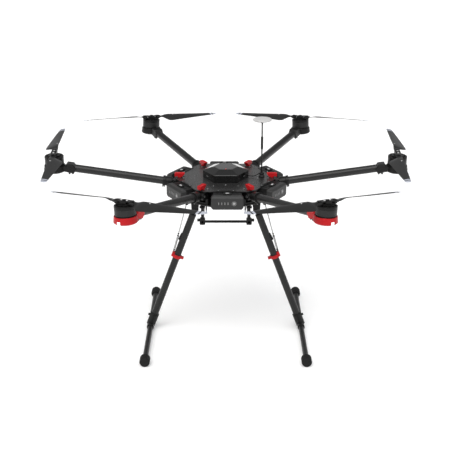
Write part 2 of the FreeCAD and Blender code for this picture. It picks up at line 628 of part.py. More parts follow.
def leg():
    """Folding leg: knuckle, tube, spring clamp with its pin, and latch; upright."""
    tube_from, tube_to = 22.0, LEG_DROP - TEE_R + 1
    tube = pipe(LEG_R, LEG_R - LEG_WALL, (0, 0, -tube_from), (0, 0, -tube_to))
    half = KNUCKLE_W / 2
    barrel = rod(KNUCKLE_R, (0, -half, 0), (0, half, 0))
    body = side_plate([(-KNUCKLE_R, 0), (KNUCKLE_R, 0), (KNUCKLE_R, -42), (KNUCKLE_R - 2, -46),
                       (-KNUCKLE_R + 1, -54), (-KNUCKLE_R - 1, -50)], -half, half)
    body = chamfered(body, 3.0, lambda e: abs(abs(e.CenterOfMass.y) - half) < 1e-6
                     and e.CenterOfMass.z < -5)
    split = side_plate([(KNUCKLE_R + 5, -9), (KNUCKLE_R + 5, -10.6), (-KNUCKLE_R - 5, -40.6),
                        (-KNUCKLE_R - 5, -39)], -half - 1, half + 1)
    shallow = split.cut(block((-60, -half + 1.5, -80), (60, half - 1.5, 20)))
    hole = rod(GEAR_PIN_R + FIT, (0, -30, 0), (0, 30, 0))
    bore = rod(LEG_R, (0, 0, -tube_from), (0, 0, -80))
    knuckle = fuse(barrel, body)
    for y in (-half + 4, half - 4):
        screw = rod(3.2, (-KNUCKLE_R - 3.5, y * 0.5, -46), (-KNUCKLE_R + 2, y * 0.5, -46))
        knuckle = knuckle.fuse(screw)
    knuckle = knuckle.removeSplitter().cut([hole, bore, shallow])
    out, down = leg_offset(*SPRING_PIN)
    ring = rod(CLAMP_R, (0, 0, -down - 3.5), (0, 0, -down - 14.5))
    ears = [block((0, y0, -down - 14.5), (out + 3.6, y1, -down + 3.6))
            for y0, y1 in ((-6.0, -2.9), (2.9, 6.0))]
    inner_ear = block((-CLAMP_R - 8, -5, -down - 13), (0, 5, -down - 5))
    clamp = fuse(ring, inner_ear, *ears)
    pin = rod(SPRING_PIN_R, (out, -6.0, -down), (out, 6.0, -down))
    clamp = clamp.cut(rod(LEG_R, (0, 0, 0), (0, 0, -LEG_DROP))).fuse(pin).removeSplitter()
    latch_top, latch_low = -100.0, -126.0
    latch = side_plate([(LEG_R - 1, latch_top), (LEG_R + 2.0, latch_top), (LEG_R + 4.2, latch_low + 9),
                        (LEG_R + 4.8, latch_low + 2), (LEG_R - 1, latch_low)], -4.2, 4.2)
    latch = latch.cut(rod(LEG_R, (0, 0, 0), (0, 0, -LEG_DROP)))
    return [on_leg(s) for s in (tube, knuckle, clamp, latch)]


def skid():
    """Ground tube on the right: tee on the leg, tube along Y and two rubber feet."""
    tube = pipe(SKID_R, SKID_R - 1.5, (SKID_X, -SKID_HALF + 3, FOOT_R), (SKID_X, SKID_HALF - 3, FOOT_R))
    tee = rod(TEE_R, (SKID_X, -TEE_HALF, FOOT_R), (SKID_X, TEE_HALF, FOOT_R))
    tee = chamfered(tee, 1.2, lambda e: len(e.Vertexes) == 1 and abs(abs(e.CenterOfMass.y) - TEE_HALF) < 1e-3)
    stem = on_leg(rod(LEG_R + 3.5, (0, 0, -LEG_DROP + 44), (0, 0, -LEG_DROP)))
    thumb = on_leg(rod(4.2, (LEG_R, 0, -LEG_DROP + 34), (LEG_R + 9, 0, -LEG_DROP + 34)))
    tee = fuse(tee, stem, thumb)
    tee = tee.cut([rod(SKID_R, (SKID_X, -60, FOOT_R), (SKID_X, 60, FOOT_R)),
                   on_leg(rod(LEG_R, (0, 0, 0), (0, 0, -LEG_DROP + TEE_R - 1)))])
    solids = [tube, tee]
    for s in (-1, 1):
        end, near = s * SKID_HALF, s * (SKID_HALF - FOOT_L)
        foot = fuse(rod(FOOT_R, (SKID_X, near, FOOT_R), (SKID_X, end - s * 4, FOOT_R)),
                    cone(FOOT_R, FOOT_R - 4, (SKID_X, end - s * 4, FOOT_R), (SKID_X, end, FOOT_R)),
                    cone(SKID_R + 2.5, FOOT_R, (SKID_X, near - s * 7, FOOT_R), (SKID_X, near, FOOT_R)))
        solids.append(foot.cut(rod(SKID_R, (SKID_X, 0, FOOT_R), (SKID_X, end - s * 3, FOOT_R))))
    return solids


def spring_strut():
    """Retracting spring on the right leg: eye, coil, ball and rod with an open hook."""
    low, high = V(SPRING_PIN[0], 0, SPRING_PIN[1]), V(SPRING_HOOK[0], 0, SPRING_HOOK[1])
    length = (high - low).Length
    eye = pipe(3.4, SPRING_PIN_R + 0.3, (0, -2.4, 0), (0, 2.4, 0))
    coil_from, coil_to = 12.0, 60.0
    shank = rod(1.6, (0, 0, 2.6), (0, 0, coil_from - 2.0))
    pitch = (coil_to - coil_from) / SPRING_TURNS
    helix = Part.makeHelix(pitch, coil_to - coil_from, SPRING_COIL_R - SPRING_WIRE_R)
    helix.translate(V(0, 0, coil_from))
    start = V(SPRING_COIL_R - SPRING_WIRE_R, 0, coil_from)
    profile = Part.Wire([Part.makeCircle(SPRING_WIRE_R, start, Y_AXIS)])
    coil = Part.Wire(helix).makePipeShell([profile], True, True)
    touch = SPRING_WIRE_R + 0.02
    ends = [rod(SPRING_COIL_R, (0, 0, coil_from - touch - 2.2), (0, 0, coil_from - touch)),
            rod(SPRING_COIL_R, (0, 0, coil_to + touch), (0, 0, coil_to + touch + 2.2))]
    ball_z = coil_to + 10.0
    link = rod(1.6, (0, 0, coil_to + 2.0), (0, 0, ball_z))
    ball = Part.makeSphere(3.1, V(0, 0, ball_z))
    hook_r = 5.2
    stem = rod(2.0, (0, 0, ball_z), (0, 0, length - hook_r))
    bail = Part.makeTorus(hook_r, 1.3, V(0, 0, length), Y_AXIS)
    pieces = [fuse(eye, shank, ends[0]), coil, fuse(ends[1], link, ball, stem, bail)]
    lean = math.degrees(math.atan2(high.x - low.x, high.z - low.z))
    return [moved(turned(piece, lean, Y_AXIS), low.x, low.y, low.z) for piece in pieces]


def gear_mount():
    """Right-hand leg bracket: cheeks, pivot pin, spring bracket and retracting link."""
    half = KNUCKLE_W / 2 + GAP
    top = LOWER_PLATE_BOTTOM
    solids = []
    cheeks = []
    for s in (-1, 1):
        y0, y1 = sorted((s * half, s * (half + 5)))
        cheeks.append(side_plate([(GEAR_X - 13, top), (GEAR_X + 15, top), (GEAR_X + 12, GEAR_Z + 2),
                                  (GEAR_X + 8, GEAR_Z - 12), (GEAR_X - 8, GEAR_Z - 12),
                                  (GEAR_X - 12, GEAR_Z + 2)], y0, y1))
    bridge = block((GEAR_X - 13, -half - 5, GEAR_Z + 27), (GEAR_X + 15, half + 5, top))
    bracket = fuse(bridge, *cheeks)
    flange = block((GEAR_X - 22, -half - 13, top - 5), (GEAR_X + 24, half + 13, top))
    pin = rod(GEAR_PIN_R, (GEAR_X, -half - 7, GEAR_Z), (GEAR_X, half + 7, GEAR_Z))
    knob = rod(5.5, (GEAR_X + 14, 0, GEAR_Z + 40), (GEAR_X + 22, 0, GEAR_Z + 38))
    bracket = fuse(bracket, flange, pin, knob)
    hx, hz = SPRING_HOOK
    arms = []
    for s in (-1, 1):
        y0, y1 = sorted((s * (half - 6), s * (half - 2)))
        arms.append(side_plate([(GEAR_X + 12, GEAR_Z + 34), (GEAR_X + 12, GEAR_Z + 44),
                                (hx + 5, hz + 5), (hx + 4, hz - 4), (hx - 4, hz - 4)], y0, y1))
    cross = rod(1.6, (hx, -half + 2, hz), (hx, half - 2, hz))
    solids.append(fuse(bracket, *(arms + [cross])))
    servo = chamfered(block((GEAR_X - 48, -16, top - 34), (GEAR_X - 24, 16, top)), 2.0, upright)
    link_z = RAIL_Z - RAIL_R - 3.7
    post_x = RAIL_X - RAIL_R - 5.5
    link = fuse(cone(2.2, 3.2, (post_x - 4, 0, link_z), (post_x + 4, 0, link_z)),
                rod(3.2, (post_x + 4, 0, link_z), (GEAR_X - KNUCKLE_R - 2, 0, link_z)),
                rod(2.4, (post_x, 0, link_z), (post_x, 0, top - 30)))
    solids += [servo, link.cut(servo)]
    return solids


# ---- payload rails ------------------------------------------------------------------
def payload_rails():
    """Two rails and two crossbars on clamps, hung from the lower plate on dampers."""
    solids = []
    top = LOWER_PLATE_BOTTOM
    for sx in (-1, 1):
        x = sx * RAIL_X
        solids.append(pipe(RAIL_R, RAIL_R - 1, (x, -RAIL_HALF, RAIL_Z), (x, RAIL_HALF, RAIL_Z)))
        for sy in (-1, 1):
            y = sy * CROSSBAR_Y
            clamp = chamfered(block((x - 9, y - 8, RAIL_Z - 9), (x + 9, y + 8, RAIL_Z + 12)), 2.5,
                              lambda e: abs(e.Length - 16) < 1e-6)
            hanger = block((x - 4.5, y - 6, RAIL_Z + 12), (x + 4.5, y + 6, top - 13))
            head = block((x - 9, y - 9, top - 16), (x + 9, y + 9, top - 13))
            thumb = rod(5.0, (x + sx * 9, y, RAIL_Z + 5), (x + sx * 17, y, RAIL_Z + 5))
            bores = [rod(RAIL_R, (x, y - 20, RAIL_Z), (x, y + 20, RAIL_Z)),
                     rod(CROSSBAR_R, (x - sx * 30, y, RAIL_Z), (x, y, RAIL_Z))]
            solids.append(fuse(clamp, hanger, head, thumb).cut(bores))
            damper = fuse(cone(5.0, 7.0, (x, y, top - 13), (x, y, top - 6.5)),
                          cone(7.0, 5.0, (x, y, top - 6.5), (x, y, top)))
            solids.append(damper)
    for sy in (-1, 1):
        end = RAIL_X - RAIL_R
        y = sy * CROSSBAR_Y
        bar = pipe(CROSSBAR_R, CROSSBAR_R - 1, (-end, y, RAIL_Z), (end, y, RAIL_Z))
        solids.append(bar)
    return solids


# ---- satellite antenna --------------------------------------------------------------
GPS_PIVOT_Z = UPPER_PLATE_TOP + GPS_PIVOT_H


def gps_mount():
    """Foot of the antenna mast on the upper plate, with its pivot pin."""
    foot = rod(10.0, (GPS_X, 0, UPPER_PLATE_TOP), (GPS_X, 0, UPPER_PLATE_TOP + 3))
    cheeks = [block((x0, -5, UPPER_PLATE_TOP + 3), (x1, 5, GPS_PIVOT_Z + 5))
              for x0, x1 in ((GPS_X - 7, GPS_X - 4.2), (GPS_X + 4.2, GPS_X + 7))]
    pin = rod(GPS_PIN_R, (GPS_X - 8, 0, GPS_PIVOT_Z), (GPS_X + 8, 0, GPS_PIVOT_Z))
    return fuse(foot, pin, *cheeks)


def gps_mast():
    """Folding mast: knuckle, lock collar, rod, grip sleeve and cup."""
    z = GPS_PIVOT_Z
    cup_z = OVERALL_HEIGHT - GPS_DISC_H
    knuckle = rod(4.6, (GPS_X - 3.9, 0, z), (GPS_X + 3.9, 0, z))
    knuckle = knuckle.cut(rod(GPS_PIN_R + FIT, (GPS_X - 9, 0, z), (GPS_X + 9, 0, z)))
    collar = rod(3.8, (GPS_X, 0, z + 3.6), (GPS_X, 0, z + 14))
    stick = rod(GPS_ROD_R, (GPS_X, 0, z + 10), (GPS_X, 0, cup_z - 5))
    span = cup_z - z
    sleeve = rod(GPS_SLEEVE_R, (GPS_X, 0, z + GPS_SLEEVE_FROM * span),
                 (GPS_X, 0, z + GPS_SLEEVE_TO * span))
    cup = cone(3.0, 8.5, (GPS_X, 0, cup_z - 9), (GPS_X, 0, cup_z))
    return fuse(knuckle, collar, stick, sleeve, cup)


def gps_antenna():
    """Round satellite receiver on top of the mast."""
    low = OVERALL_HEIGHT - GPS_DISC_H
    disc = rod(GPS_DISC_R, (GPS_X, 0, low), (GPS_X, 0, OVERALL_HEIGHT))
    return rounded(disc, 0.4 * GPS_DISC_H, level_at(OVERALL_HEIGHT))


def gps_cable(cover, foot):
    """Lead from the cover to the mast's foot: straight runs joined by tangent arcs."""
    base = UPPER_PLATE_TOP
    route = [V(COVER_CORNER_R - 3, 0, base + 5), V(GPS_X - 33, -1.5, base + 3.2),
             V(GPS_X - 21, -3.0, base + 4.6), V(GPS_X - 12, -1.5, base + 9.5),
             V(GPS_X - 5, 0.5, base + 14.5)]
    edges, at = [], route[0]
    for before, corner, after in zip(route, route[1:], route[2:]):
        back, ahead = (before - corner), (after - corner)
        turn = math.pi - back.getAngle(ahead)
        reach = 0.45 * min(back.Length, ahead.Length)
        back.normalize()
        ahead.normalize()
        enter, leave = corner + back * reach, corner + ahead * reach
        radius = reach / math.tan(turn / 2)
        bisector = back + ahead
        bisector.normalize()
        centre = corner + bisector * (radius / math.cos(turn / 2))
        middle = centre - bisector * radius
        edges += [Part.LineSegment(at, enter).toShape(), Part.Arc(enter, middle, leave).toShape()]
        at = leave
    edges.append(Part.LineSegment(at, route[-1]).toShape())
    path = Part.Wire(edges)
    profile = Part.Wire([Part.makeCircle(CABLE_R, route[0], route[1] - route[0])])
    tube = path.makePipeShell([profile], True, False)
    tube = tube.cut([cover, foot])
    return max(tube.Solids, key=lambda s: s.Volume)


# ---- write every node ---------------------------------------------------------------
def build():
    """Write every node to its STEP file."""
    os.makedirs("parts", exist_ok=True)
    save("upper_plate", upper_plate())
    save("lower_plate", lower_plate())
    save("hub_frame", *hub_frame())
    save("electronics", *electronics())
    cover, foot = top_cover(), gps_mount()
    save("top_cover", cover)
    save("fasteners", *fasteners())
    save("payload_rails", *payload_rails())
    save("gps_mount", foot)
    save("gps_mast", gps_mast())
    save("gps_antenna", gps_antenna())
    save("gps_cable", gps_cable(cover, foot))

    knob, arm_parts, seat = lock_knob(), arm(), motor_base()
    window, clamp, spinner, wing = lamp_window(), motor_clamp(), rotor(), blade()
    for k, name in enumerate(ARM_NAMES):
        around = ARM_STEP * k
        save("lock_knob_" + name, turned(knob, around))
        save("arm_" + name, *[turned(p, around) for p in arm_parts])

        def placed(shape):
            leaning = turned(shape, ROTOR_TILT * PROP_SENSES[k], X_AXIS)
            return turned(moved(leaning, MOTOR_CIRCLE_R, 0, MOTOR_Z), around)
        lean_seat = placed(seat)
        lean_clamp = turned(clamp, around).cut(placed(rod(BASE_R - 4, (0, 0, -BASE_H - 9), (0, 0, BELL_H))))
        base = lean_seat.fuse(lean_clamp).removeSplitter()
        save("motor_base_" + name, base, placed(window))
        spin = PROP_ANGLES[k] - around
        save("rotor_" + name, placed(turned(spinner, spin)))
        handed = wing if PROP_SENSES[k] > 0 else wing.mirror(ORIGIN, Y_AXIS)
        at_pin = moved(handed, BLADE_PIN_OFFSET, 0, BLADE_PLANE)
        for letter, half_turn in (("a", 0), ("b", 180)):
            save("blade_%s_%s" % (name, letter), placed(turned(at_pin, spin + half_turn)))

    pack = battery()
    for k, name in enumerate(BATTERY_NAMES):
        save("battery_" + name, *[turned(p, ARM_STEP * k + 30) for p in pack])

    bracket = gear_mount()
    sides = {"right": 0, "left": 180}
    mounts = []
    for name, around in sides.items():
        save("leg_" + name, *[turned(s, around) for s in leg()])
        save("skid_" + name, *[turned(s, around) for s in skid()])
        save("spring_strut_" + name, *[turned(s, around) for s in spring_strut()])
        mounts += [turned(s, around) for s in bracket]
    save("gear_mounts", *mounts)


build()
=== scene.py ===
"""Looks of a folding six-rotor camera drone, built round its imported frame.

Metres, +Z up, -Y the front and +X the right-hand side. A shape is drawn in millimetres at
its own origin, and the matrix that sets it in place also brings it to metres.
"""
import json
import math

import bmesh
import bpy
from mathutils import Matrix, Vector


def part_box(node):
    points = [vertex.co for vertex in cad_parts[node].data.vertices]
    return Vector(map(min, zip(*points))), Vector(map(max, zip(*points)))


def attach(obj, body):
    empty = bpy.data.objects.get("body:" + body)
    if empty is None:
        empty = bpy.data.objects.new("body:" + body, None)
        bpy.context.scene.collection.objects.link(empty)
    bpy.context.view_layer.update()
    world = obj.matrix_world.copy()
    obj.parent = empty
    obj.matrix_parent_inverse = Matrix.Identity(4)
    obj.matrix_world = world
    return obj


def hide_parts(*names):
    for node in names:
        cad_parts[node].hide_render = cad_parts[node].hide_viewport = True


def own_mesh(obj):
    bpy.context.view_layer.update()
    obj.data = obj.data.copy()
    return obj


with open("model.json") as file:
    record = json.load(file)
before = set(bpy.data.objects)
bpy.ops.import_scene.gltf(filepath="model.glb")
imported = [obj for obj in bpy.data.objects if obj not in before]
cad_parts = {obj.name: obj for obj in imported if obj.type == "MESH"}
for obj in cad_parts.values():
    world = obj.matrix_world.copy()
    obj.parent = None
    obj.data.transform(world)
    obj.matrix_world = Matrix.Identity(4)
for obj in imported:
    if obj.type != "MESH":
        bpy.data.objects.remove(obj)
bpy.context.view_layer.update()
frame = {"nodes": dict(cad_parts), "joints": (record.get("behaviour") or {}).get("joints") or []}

JOINTS = {joint["name"]: joint for joint in frame["joints"]}
COVER_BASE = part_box("top_cover")[0].z * 1000            # mm above the ground
PLATE_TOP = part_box("upper_plate")[1].z * 1000

# ---- sizes in millimetres -----------------------------------------------------------
ARM_NAMES = ["right", "rear_right", "rear_left", "left", "front_left", "front_right"]
BAY_NAMES = ["rear_right_bay", "rear_bay", "rear_left_bay",
             "front_left_bay", "front_bay", "front_right_bay"]
SIDES = {"right": 0, "left": 180}       # degrees that turn the right side's shapes
GAP = 0.3                               # running gap between pieces of different bodies

ARM_RISE = 8.3                          # degrees
TUBE_R, TUBE_WALL, TUBE_START = 13.0, 1.5, 15.0
MOTOR_END_GAP = 39.0                    # arm tube's end to the rotor axis
BARREL_R, BARREL_HALF = 12.0, 13.0
SLEEVE_R, SLEEVE_FROM, SLEEVE_TO = 16.0, 13.0, 36.0
COLLAR_R, COLLAR_W = 17.5, 9.0

BELL_R, BELL_H, BELL_WALL = 31.5, 31.0, 3.0
SEAT_R, SEAT_H = 36.0, 22.0
NECK_LENGTH, NECK_NOSE, NECK_WALL = 74.0, 11.0, 3.0     # length from the rotor axis inwards
LAMP_HALF, LAMP_TOP = 5.25, 10.5
HUB_H, HUB_FLANGE, HUB_HALF = 13.0, 2.5, 9.5
PIN_OFFSET, HUB_SCREW_AT = 25.0, 9.5
PROP_R = 266.5
ROOT_W, ROOT_T = 18.0, 4.4
CHORD, TIP_CHORD = 47.0, 18.0
ROOT_PITCH, TIP_PITCH, WIDEST = 19.0, 7.0, 0.20

BATTERY_FACE, BATTERY_L, BATTERY_W = 198.0, 100.0, 102.0
BATTERY_SHIFT, PACK_INSET = 5.0, 4.8    # anticlockwise of the bay, and pack inside the cap
CAP_RAISE, CAP_SLOPE, CAP_CUT = 5.5, 6.0, 6.0
LIGHTS_Y, BUTTON_Y, LIGHT_RISE = (-27.2, -17.4, -7.6, 2.2), 21.5, 1.5
CAP_L, CLIP_L, CLIP_W, CLIP_H = 20.0, 13.5, 27.0, 3.4
COVER_R, COVER_TOP_R, COVER_WALL_H, COVER_H = 76.0, 40.5, 25.0, 36.5
KNOB_L, KNOB_W, KNOB_H = 34.0, 14.0, 14.5

LEG_R, LEG_WALL, LEG_TUBE_FROM = 12.0, 1.5, 22.0
SKID_R, SKID_HALF, FOOT_R, FOOT_L, TEE_R = 9.0, 284.6, 17.0, 32.0, 12.5
SPRING_HOOK = (131.0, 469.0)            # x and z of the right spring's upper hook
COIL_R, WIRE_R, COIL_TURNS, COIL_FROM, COIL_TO = 3.6, 1.05, 14, 12.0, 60.0
DISC_R, DISC_H = 30.5, 7.0
CABLE_R = 1.5
COVER_FLAT = COVER_R * math.cos(math.radians(30))       # hub's axis to a side of the cover
BAY_EDGE = 176.0 * math.cos(math.radians(30))           # hub's axis to a side of the upper plate
HOOK_BAIL = 5.6                         # rod's end to the middle of its bail
LINK_WIDTH_MAX, LINK_PALE_H = 10.0, 14.0        # widest retract link, and its foot's height
GRIP_FROM, GRIP_TO = 0.47, 0.70         # mast sleeve, as shares of the mast
TOW = 2 * math.pi * TUBE_R / 32         # width of one carbon tow: 32 go round an arm tube


# ---- stage --------------------------------------------------------------------------
LENS = 75.8
CAMERA_AT = (0.0011, -3.0081, 1.5160)
CAMERA_DOWN, CAMERA_TURN = 20.54, 0.07  # degrees
FLOOR_SIZE = 60.0


def linked(name, data):
    """A new object in the scene."""
    made = bpy.data.objects.new(name, data)
    bpy.context.scene.collection.objects.link(made)
    return made


def lamp(name, strength, spread, down, turn, tint):
    """A broad sun lamp: the angle of its disc, its height and its turn from the front."""
    data = bpy.data.lights.new(name, "SUN")
    data.energy = strength
    data.angle = math.radians(spread)
    data.color = tint
    linked(name, data).rotation_euler = (math.radians(90 - down), 0, math.radians(turn))


def set_stops(ramp, stops):
    """Give a colour ramp its places and colours."""
    while len(ramp.elements) < len(stops):
        ramp.elements.new(0.5)
    for element, (at, colour) in zip(ramp.elements, stops):
        element.position = at
        element.color = colour


def camera_and_light():
    """Camera, soft key and fill, and a pale surround that is brightest low down."""
    data = bpy.data.cameras.new("camera")
    data.lens = LENS
    data.sensor_width = 36.0
    camera = linked("camera", data)
    camera.location = CAMERA_AT
    camera.rotation_euler = (math.radians(90 - CAMERA_DOWN), 0, math.radians(CAMERA_TURN))
    bpy.context.scene.camera = camera
    bpy.context.scene.view_settings.view_transform = "Standard"
    lamp("key", 2.2, 50, 52, -28, (1.0, 0.985, 0.96))
    lamp("fill", 1.1, 60, 60, 42, (0.96, 0.98, 1.0))
    world = bpy.data.worlds.new("studio")
    bpy.context.scene.world = world
    world.use_nodes = True
    nodes, links = world.node_tree.nodes, world.node_tree.links
    spot = nodes.new("ShaderNodeTexCoord")
    split = nodes.new("ShaderNodeSeparateXYZ")
    ramp = nodes.new("ShaderNodeValToRGB")
    stops = [(0.0, 0.80), (0.15, 0.62), (0.36, 0.44), (0.62, 0.20), (0.84, 0.30), (1.0, 0.95)]
    set_stops(ramp.color_ramp, [(at, (tone, tone, tone * 1.01, 1)) for at, tone in stops])
    links.new(spot.outputs["Generated"], split.inputs[0])
    links.new(split.outputs["Z"], ramp.inputs["Fac"])
    links.new(ramp.outputs["Color"], nodes["Background"].inputs["Color"])


# ---- materials ----------------------------------------------------------------------
class Term:
    """A value inside a material; arithmetic on it adds Math nodes."""

    def __init__(self, paint, socket):
        self.paint, self.socket = paint, socket

    def math(self, operation, *values):
        return self.paint.node("Math", {"operation": operation}, dict(enumerate(values)))

    def __add__(self, other):
        return self.math("ADD", self, other)

    def __sub__(self, other):
        return self.math("SUBTRACT", self, other)

    def __rsub__(self, other):
        return self.math("SUBTRACT", other, self)

    def __mul__(self, other):
        return self.math("MULTIPLY", self, other)

    def __truediv__(self, other):
        return self.math("DIVIDE", self, other)

    def __mod__(self, other):
        return self.math("FLOORED_MODULO", self, other)

    def __pow__(self, other):
        return self.math("POWER", self, other)

    def __lt__(self, other):
        return self.math("LESS_THAN", self, other)

    def __gt__(self, other):
        return self.math("GREATER_THAN", self, other)

    def floor(self):
        return self.math("FLOOR", self)

    def fraction(self):
        return self.math("FRACT", self)

    def size(self):
        return self.math("ABSOLUTE", self)

    __radd__, __rmul__ = __add__, __mul__


class Paint:
    """A material with one Principled shader, whose constant sockets are given by name."""

    def __init__(self, name, **constants):
        self.material = bpy.data.materials.new(name)
        self.material.use_nodes = True
        self.tree = self.material.node_tree
        self.shader = self.tree.nodes["Principled BSDF"]
        for socket, value in constants.items():
            self.shader.inputs[socket.replace("_", " ")].default_value = value

    def node(self, kind, settings, sockets, out=0):
        """A node with its settings made first, then its sockets; returns one output."""
        made = self.tree.nodes.new("ShaderNode" + kind)
        for name, value in settings.items():
            if name == "stops":
                set_stops(made.color_ramp, value)
            else:
                setattr(made, name, value)
        for name, value in sockets.items():
            self.feed(made.inputs[name], value)
        return Term(self, made.outputs[out])

    def feed(self, socket, value):
        """Link a term to a socket, or set the socket's own value."""
        if isinstance(value, Term):
            self.tree.links.new(value.socket, socket)
        else:
            socket.default_value = value

    def spot(self):
        """The point in the frame's metres."""
        return self.node("TexCoord", {}, {}, "Object")

    def parts(self, point, scale=1.0):
        """The three numbers of a point, scaled."""
        return [self.node("SeparateXYZ", {}, {0: point}, axis) * scale for axis in "XYZ"]

    def flow(self):
        """The piece's own map in millimetres: along it and round it."""
        mapped = self.node("UVMap", {"uv_map": "flow"}, {}, "UV")
        return self.parts(mapped)[:2]

    def noise(self, grain, detail=2.0, stretch=(1, 1, 1)):
        """Noise from 0 to 1 with a grain in metres."""
        point = self.node("Mapping", {}, {"Vector": self.spot(), "Scale": stretch})
        return self.node("TexNoise", {}, {"Vector": point, "Scale": 1 / grain, "Detail": detail})

    def mixed(self, share, first, second):
        """A colour between two colours."""
        return self.node("Mix", {"data_type": "RGBA"}, {0: share, 6: first, 7: second}, 2)

    def finish(self, colour=None, roughness=None, height=None, relief=0.0001, edge=0.0,
               metallic=None, coat=None):
        """Feed what varies over the surface; edge rounds the corners in the shading."""
        for socket, value in (("Base Color", colour), ("Roughness", roughness),
                              ("Metallic", metallic), ("Coat Weight", coat)):
            if value is not None:
                self.feed(self.shader.inputs[socket], value)
        if edge:
            rounded = self.node("Bevel", {"samples": 6}, {"Radius": edge}, "Normal")
        if height is not None:
            settings = {"Height": height, "Distance": relief, "Strength": 1.0}
            if edge:
                settings["Normal"] = rounded
            rounded = self.node("Bump", {}, settings, "Normal")
        if edge or height is not None:
            self.feed(self.shader.inputs["Normal"], rounded)
        return self


def grey(value, warm=0.0):
    """A near-neutral colour."""
    return (value * (1 + warm), value, value * (1 - warm), 1)


def twill(paint, across, along):
    """Height and lit share of a two-by-two twill weave laid on two distances in mm."""
    a, b = across / TOW, along / TOW
    over = ((a.floor() - b.floor()) % 4) < 1.5
    crown_a = 1 - (a.fraction() * 2 - 1) ** 2
    crown_b = 1 - (b.fraction() * 2 - 1) ** 2
    return over * crown_a + (1 - over) * crown_b, over


def carbon(name, flat, shade, rough, edge=0.0):
    """Clear-coated carbon twill, flat in XY or wrapped round a tube by its own map."""
    paint = Paint(name, Specular_IOR_Level=0.25, Coat_Roughness=0.12)
    if flat:
        x, y, _ = paint.parts(paint.spot(), 1000.0)
        across, along = (x + y) * 0.7071, (x - y) * 0.7071
    else:
        along, across = paint.flow()
    height, over = twill(paint, across, along)
    cloud = paint.noise(0.06)
    # Painted sheen: the tows on top are painted lighter, standing in for the light they catch, over a random
    # cloud of tone.
    tone = over * 0.55 + cloud * 0.35
    colour = paint.mixed(tone, grey(shade * 0.72), grey(shade * 1.45, 0.01))
    smear = paint.noise(0.011, 4.0)
    return paint.finish(colour, rough + smear * 0.12 - over * 0.05, height, 0.00012, edge,
                        coat=0.10 + cloud * 0.10)


def moulded(name, colour, rough, grain=0.0007, relief=0.00006, vary=0.18, edge=0.0, **more):
    """Fine-grained plastic, rubber or coated metal with a faint unevenness."""
    paint = Paint(name, **dict({"Specular_IOR_Level": 0.22}, **more))
    cloud, fine = paint.noise(0.035, 3.0), paint.noise(grain, 2.0)
    dark = tuple(c * (1 - vary) for c in colour[:3]) + (1,)
    light = tuple(min(1, c * (1 + vary)) for c in colour[:3]) + (1,)
    return paint.finish(paint.mixed(cloud, dark, light), rough - 0.06 + cloud * 0.12, fine,
                        relief, edge)


def brushed(name, shade, rough, stretch, edge=0.0):
    """Metal with fine drawn lines."""
    paint = Paint(name, Metallic=1.0)
    lines = paint.noise(0.0009, 3.0, stretch)
    return paint.finish(paint.mixed(lines, grey(shade * 0.8), grey(shade * 1.1)),
                        rough + lines * 0.15, lines, 0.00002, edge)


def blade_paint():
    """Dark moulded composite with a silver tip and one dark band across it."""
    paint = Paint("blade_composite", Specular_IOR_Level=0.25)
    along, across = paint.flow()
    span = PROP_R - PIN_OFFSET
    tip = along > span * 0.895
    band = (along - span * 0.935).size() < span * 0.010
    silver = tip * (1 - band)
    dot = ((along - 62.0) ** 2 + (across - 1.0) ** 2) < 2.3 ** 2
    cloud, fine = paint.noise(0.05, 3.0), paint.noise(0.0012, 2.0)
    body = paint.mixed(cloud, grey(0.013), grey(0.020))
    marked = paint.mixed(silver, body, (0.42, 0.44, 0.50, 1))
    return paint.finish(paint.mixed(dot, marked, grey(0.60)),
                        0.33 + cloud * 0.10 - silver * 0.06, fine, 0.00004)


def board_paint():
    """Green board below, dark boxes above it, and the red lens on the cover's top."""
    paint = Paint("circuit", Roughness=0.5, Emission_Strength=1.0)
    _, _, z = paint.parts(paint.spot(), 1000.0)
    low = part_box("lower_plate")[1].z * 1000
    board = (z - low - 7).size() < 1.2
    lens = z > COVER_BASE + 20
    tracks = paint.noise(0.004, 2.0) > 0.55
    green = paint.mixed(tracks, (0.01, 0.09, 0.035, 1), (0.02, 0.15, 0.06, 1))
    base = paint.mixed(board, grey(0.03), green)
    colour = paint.mixed(lens, base, (0.6, 0.01, 0.01, 1))
    glow = paint.mixed(lens, grey(0.0), (0.8, 0.02, 0.02, 1))
    paint.feed(paint.shader.inputs["Emission Color"], glow)
    return paint.finish(colour, height=tracks, relief=0.00005)


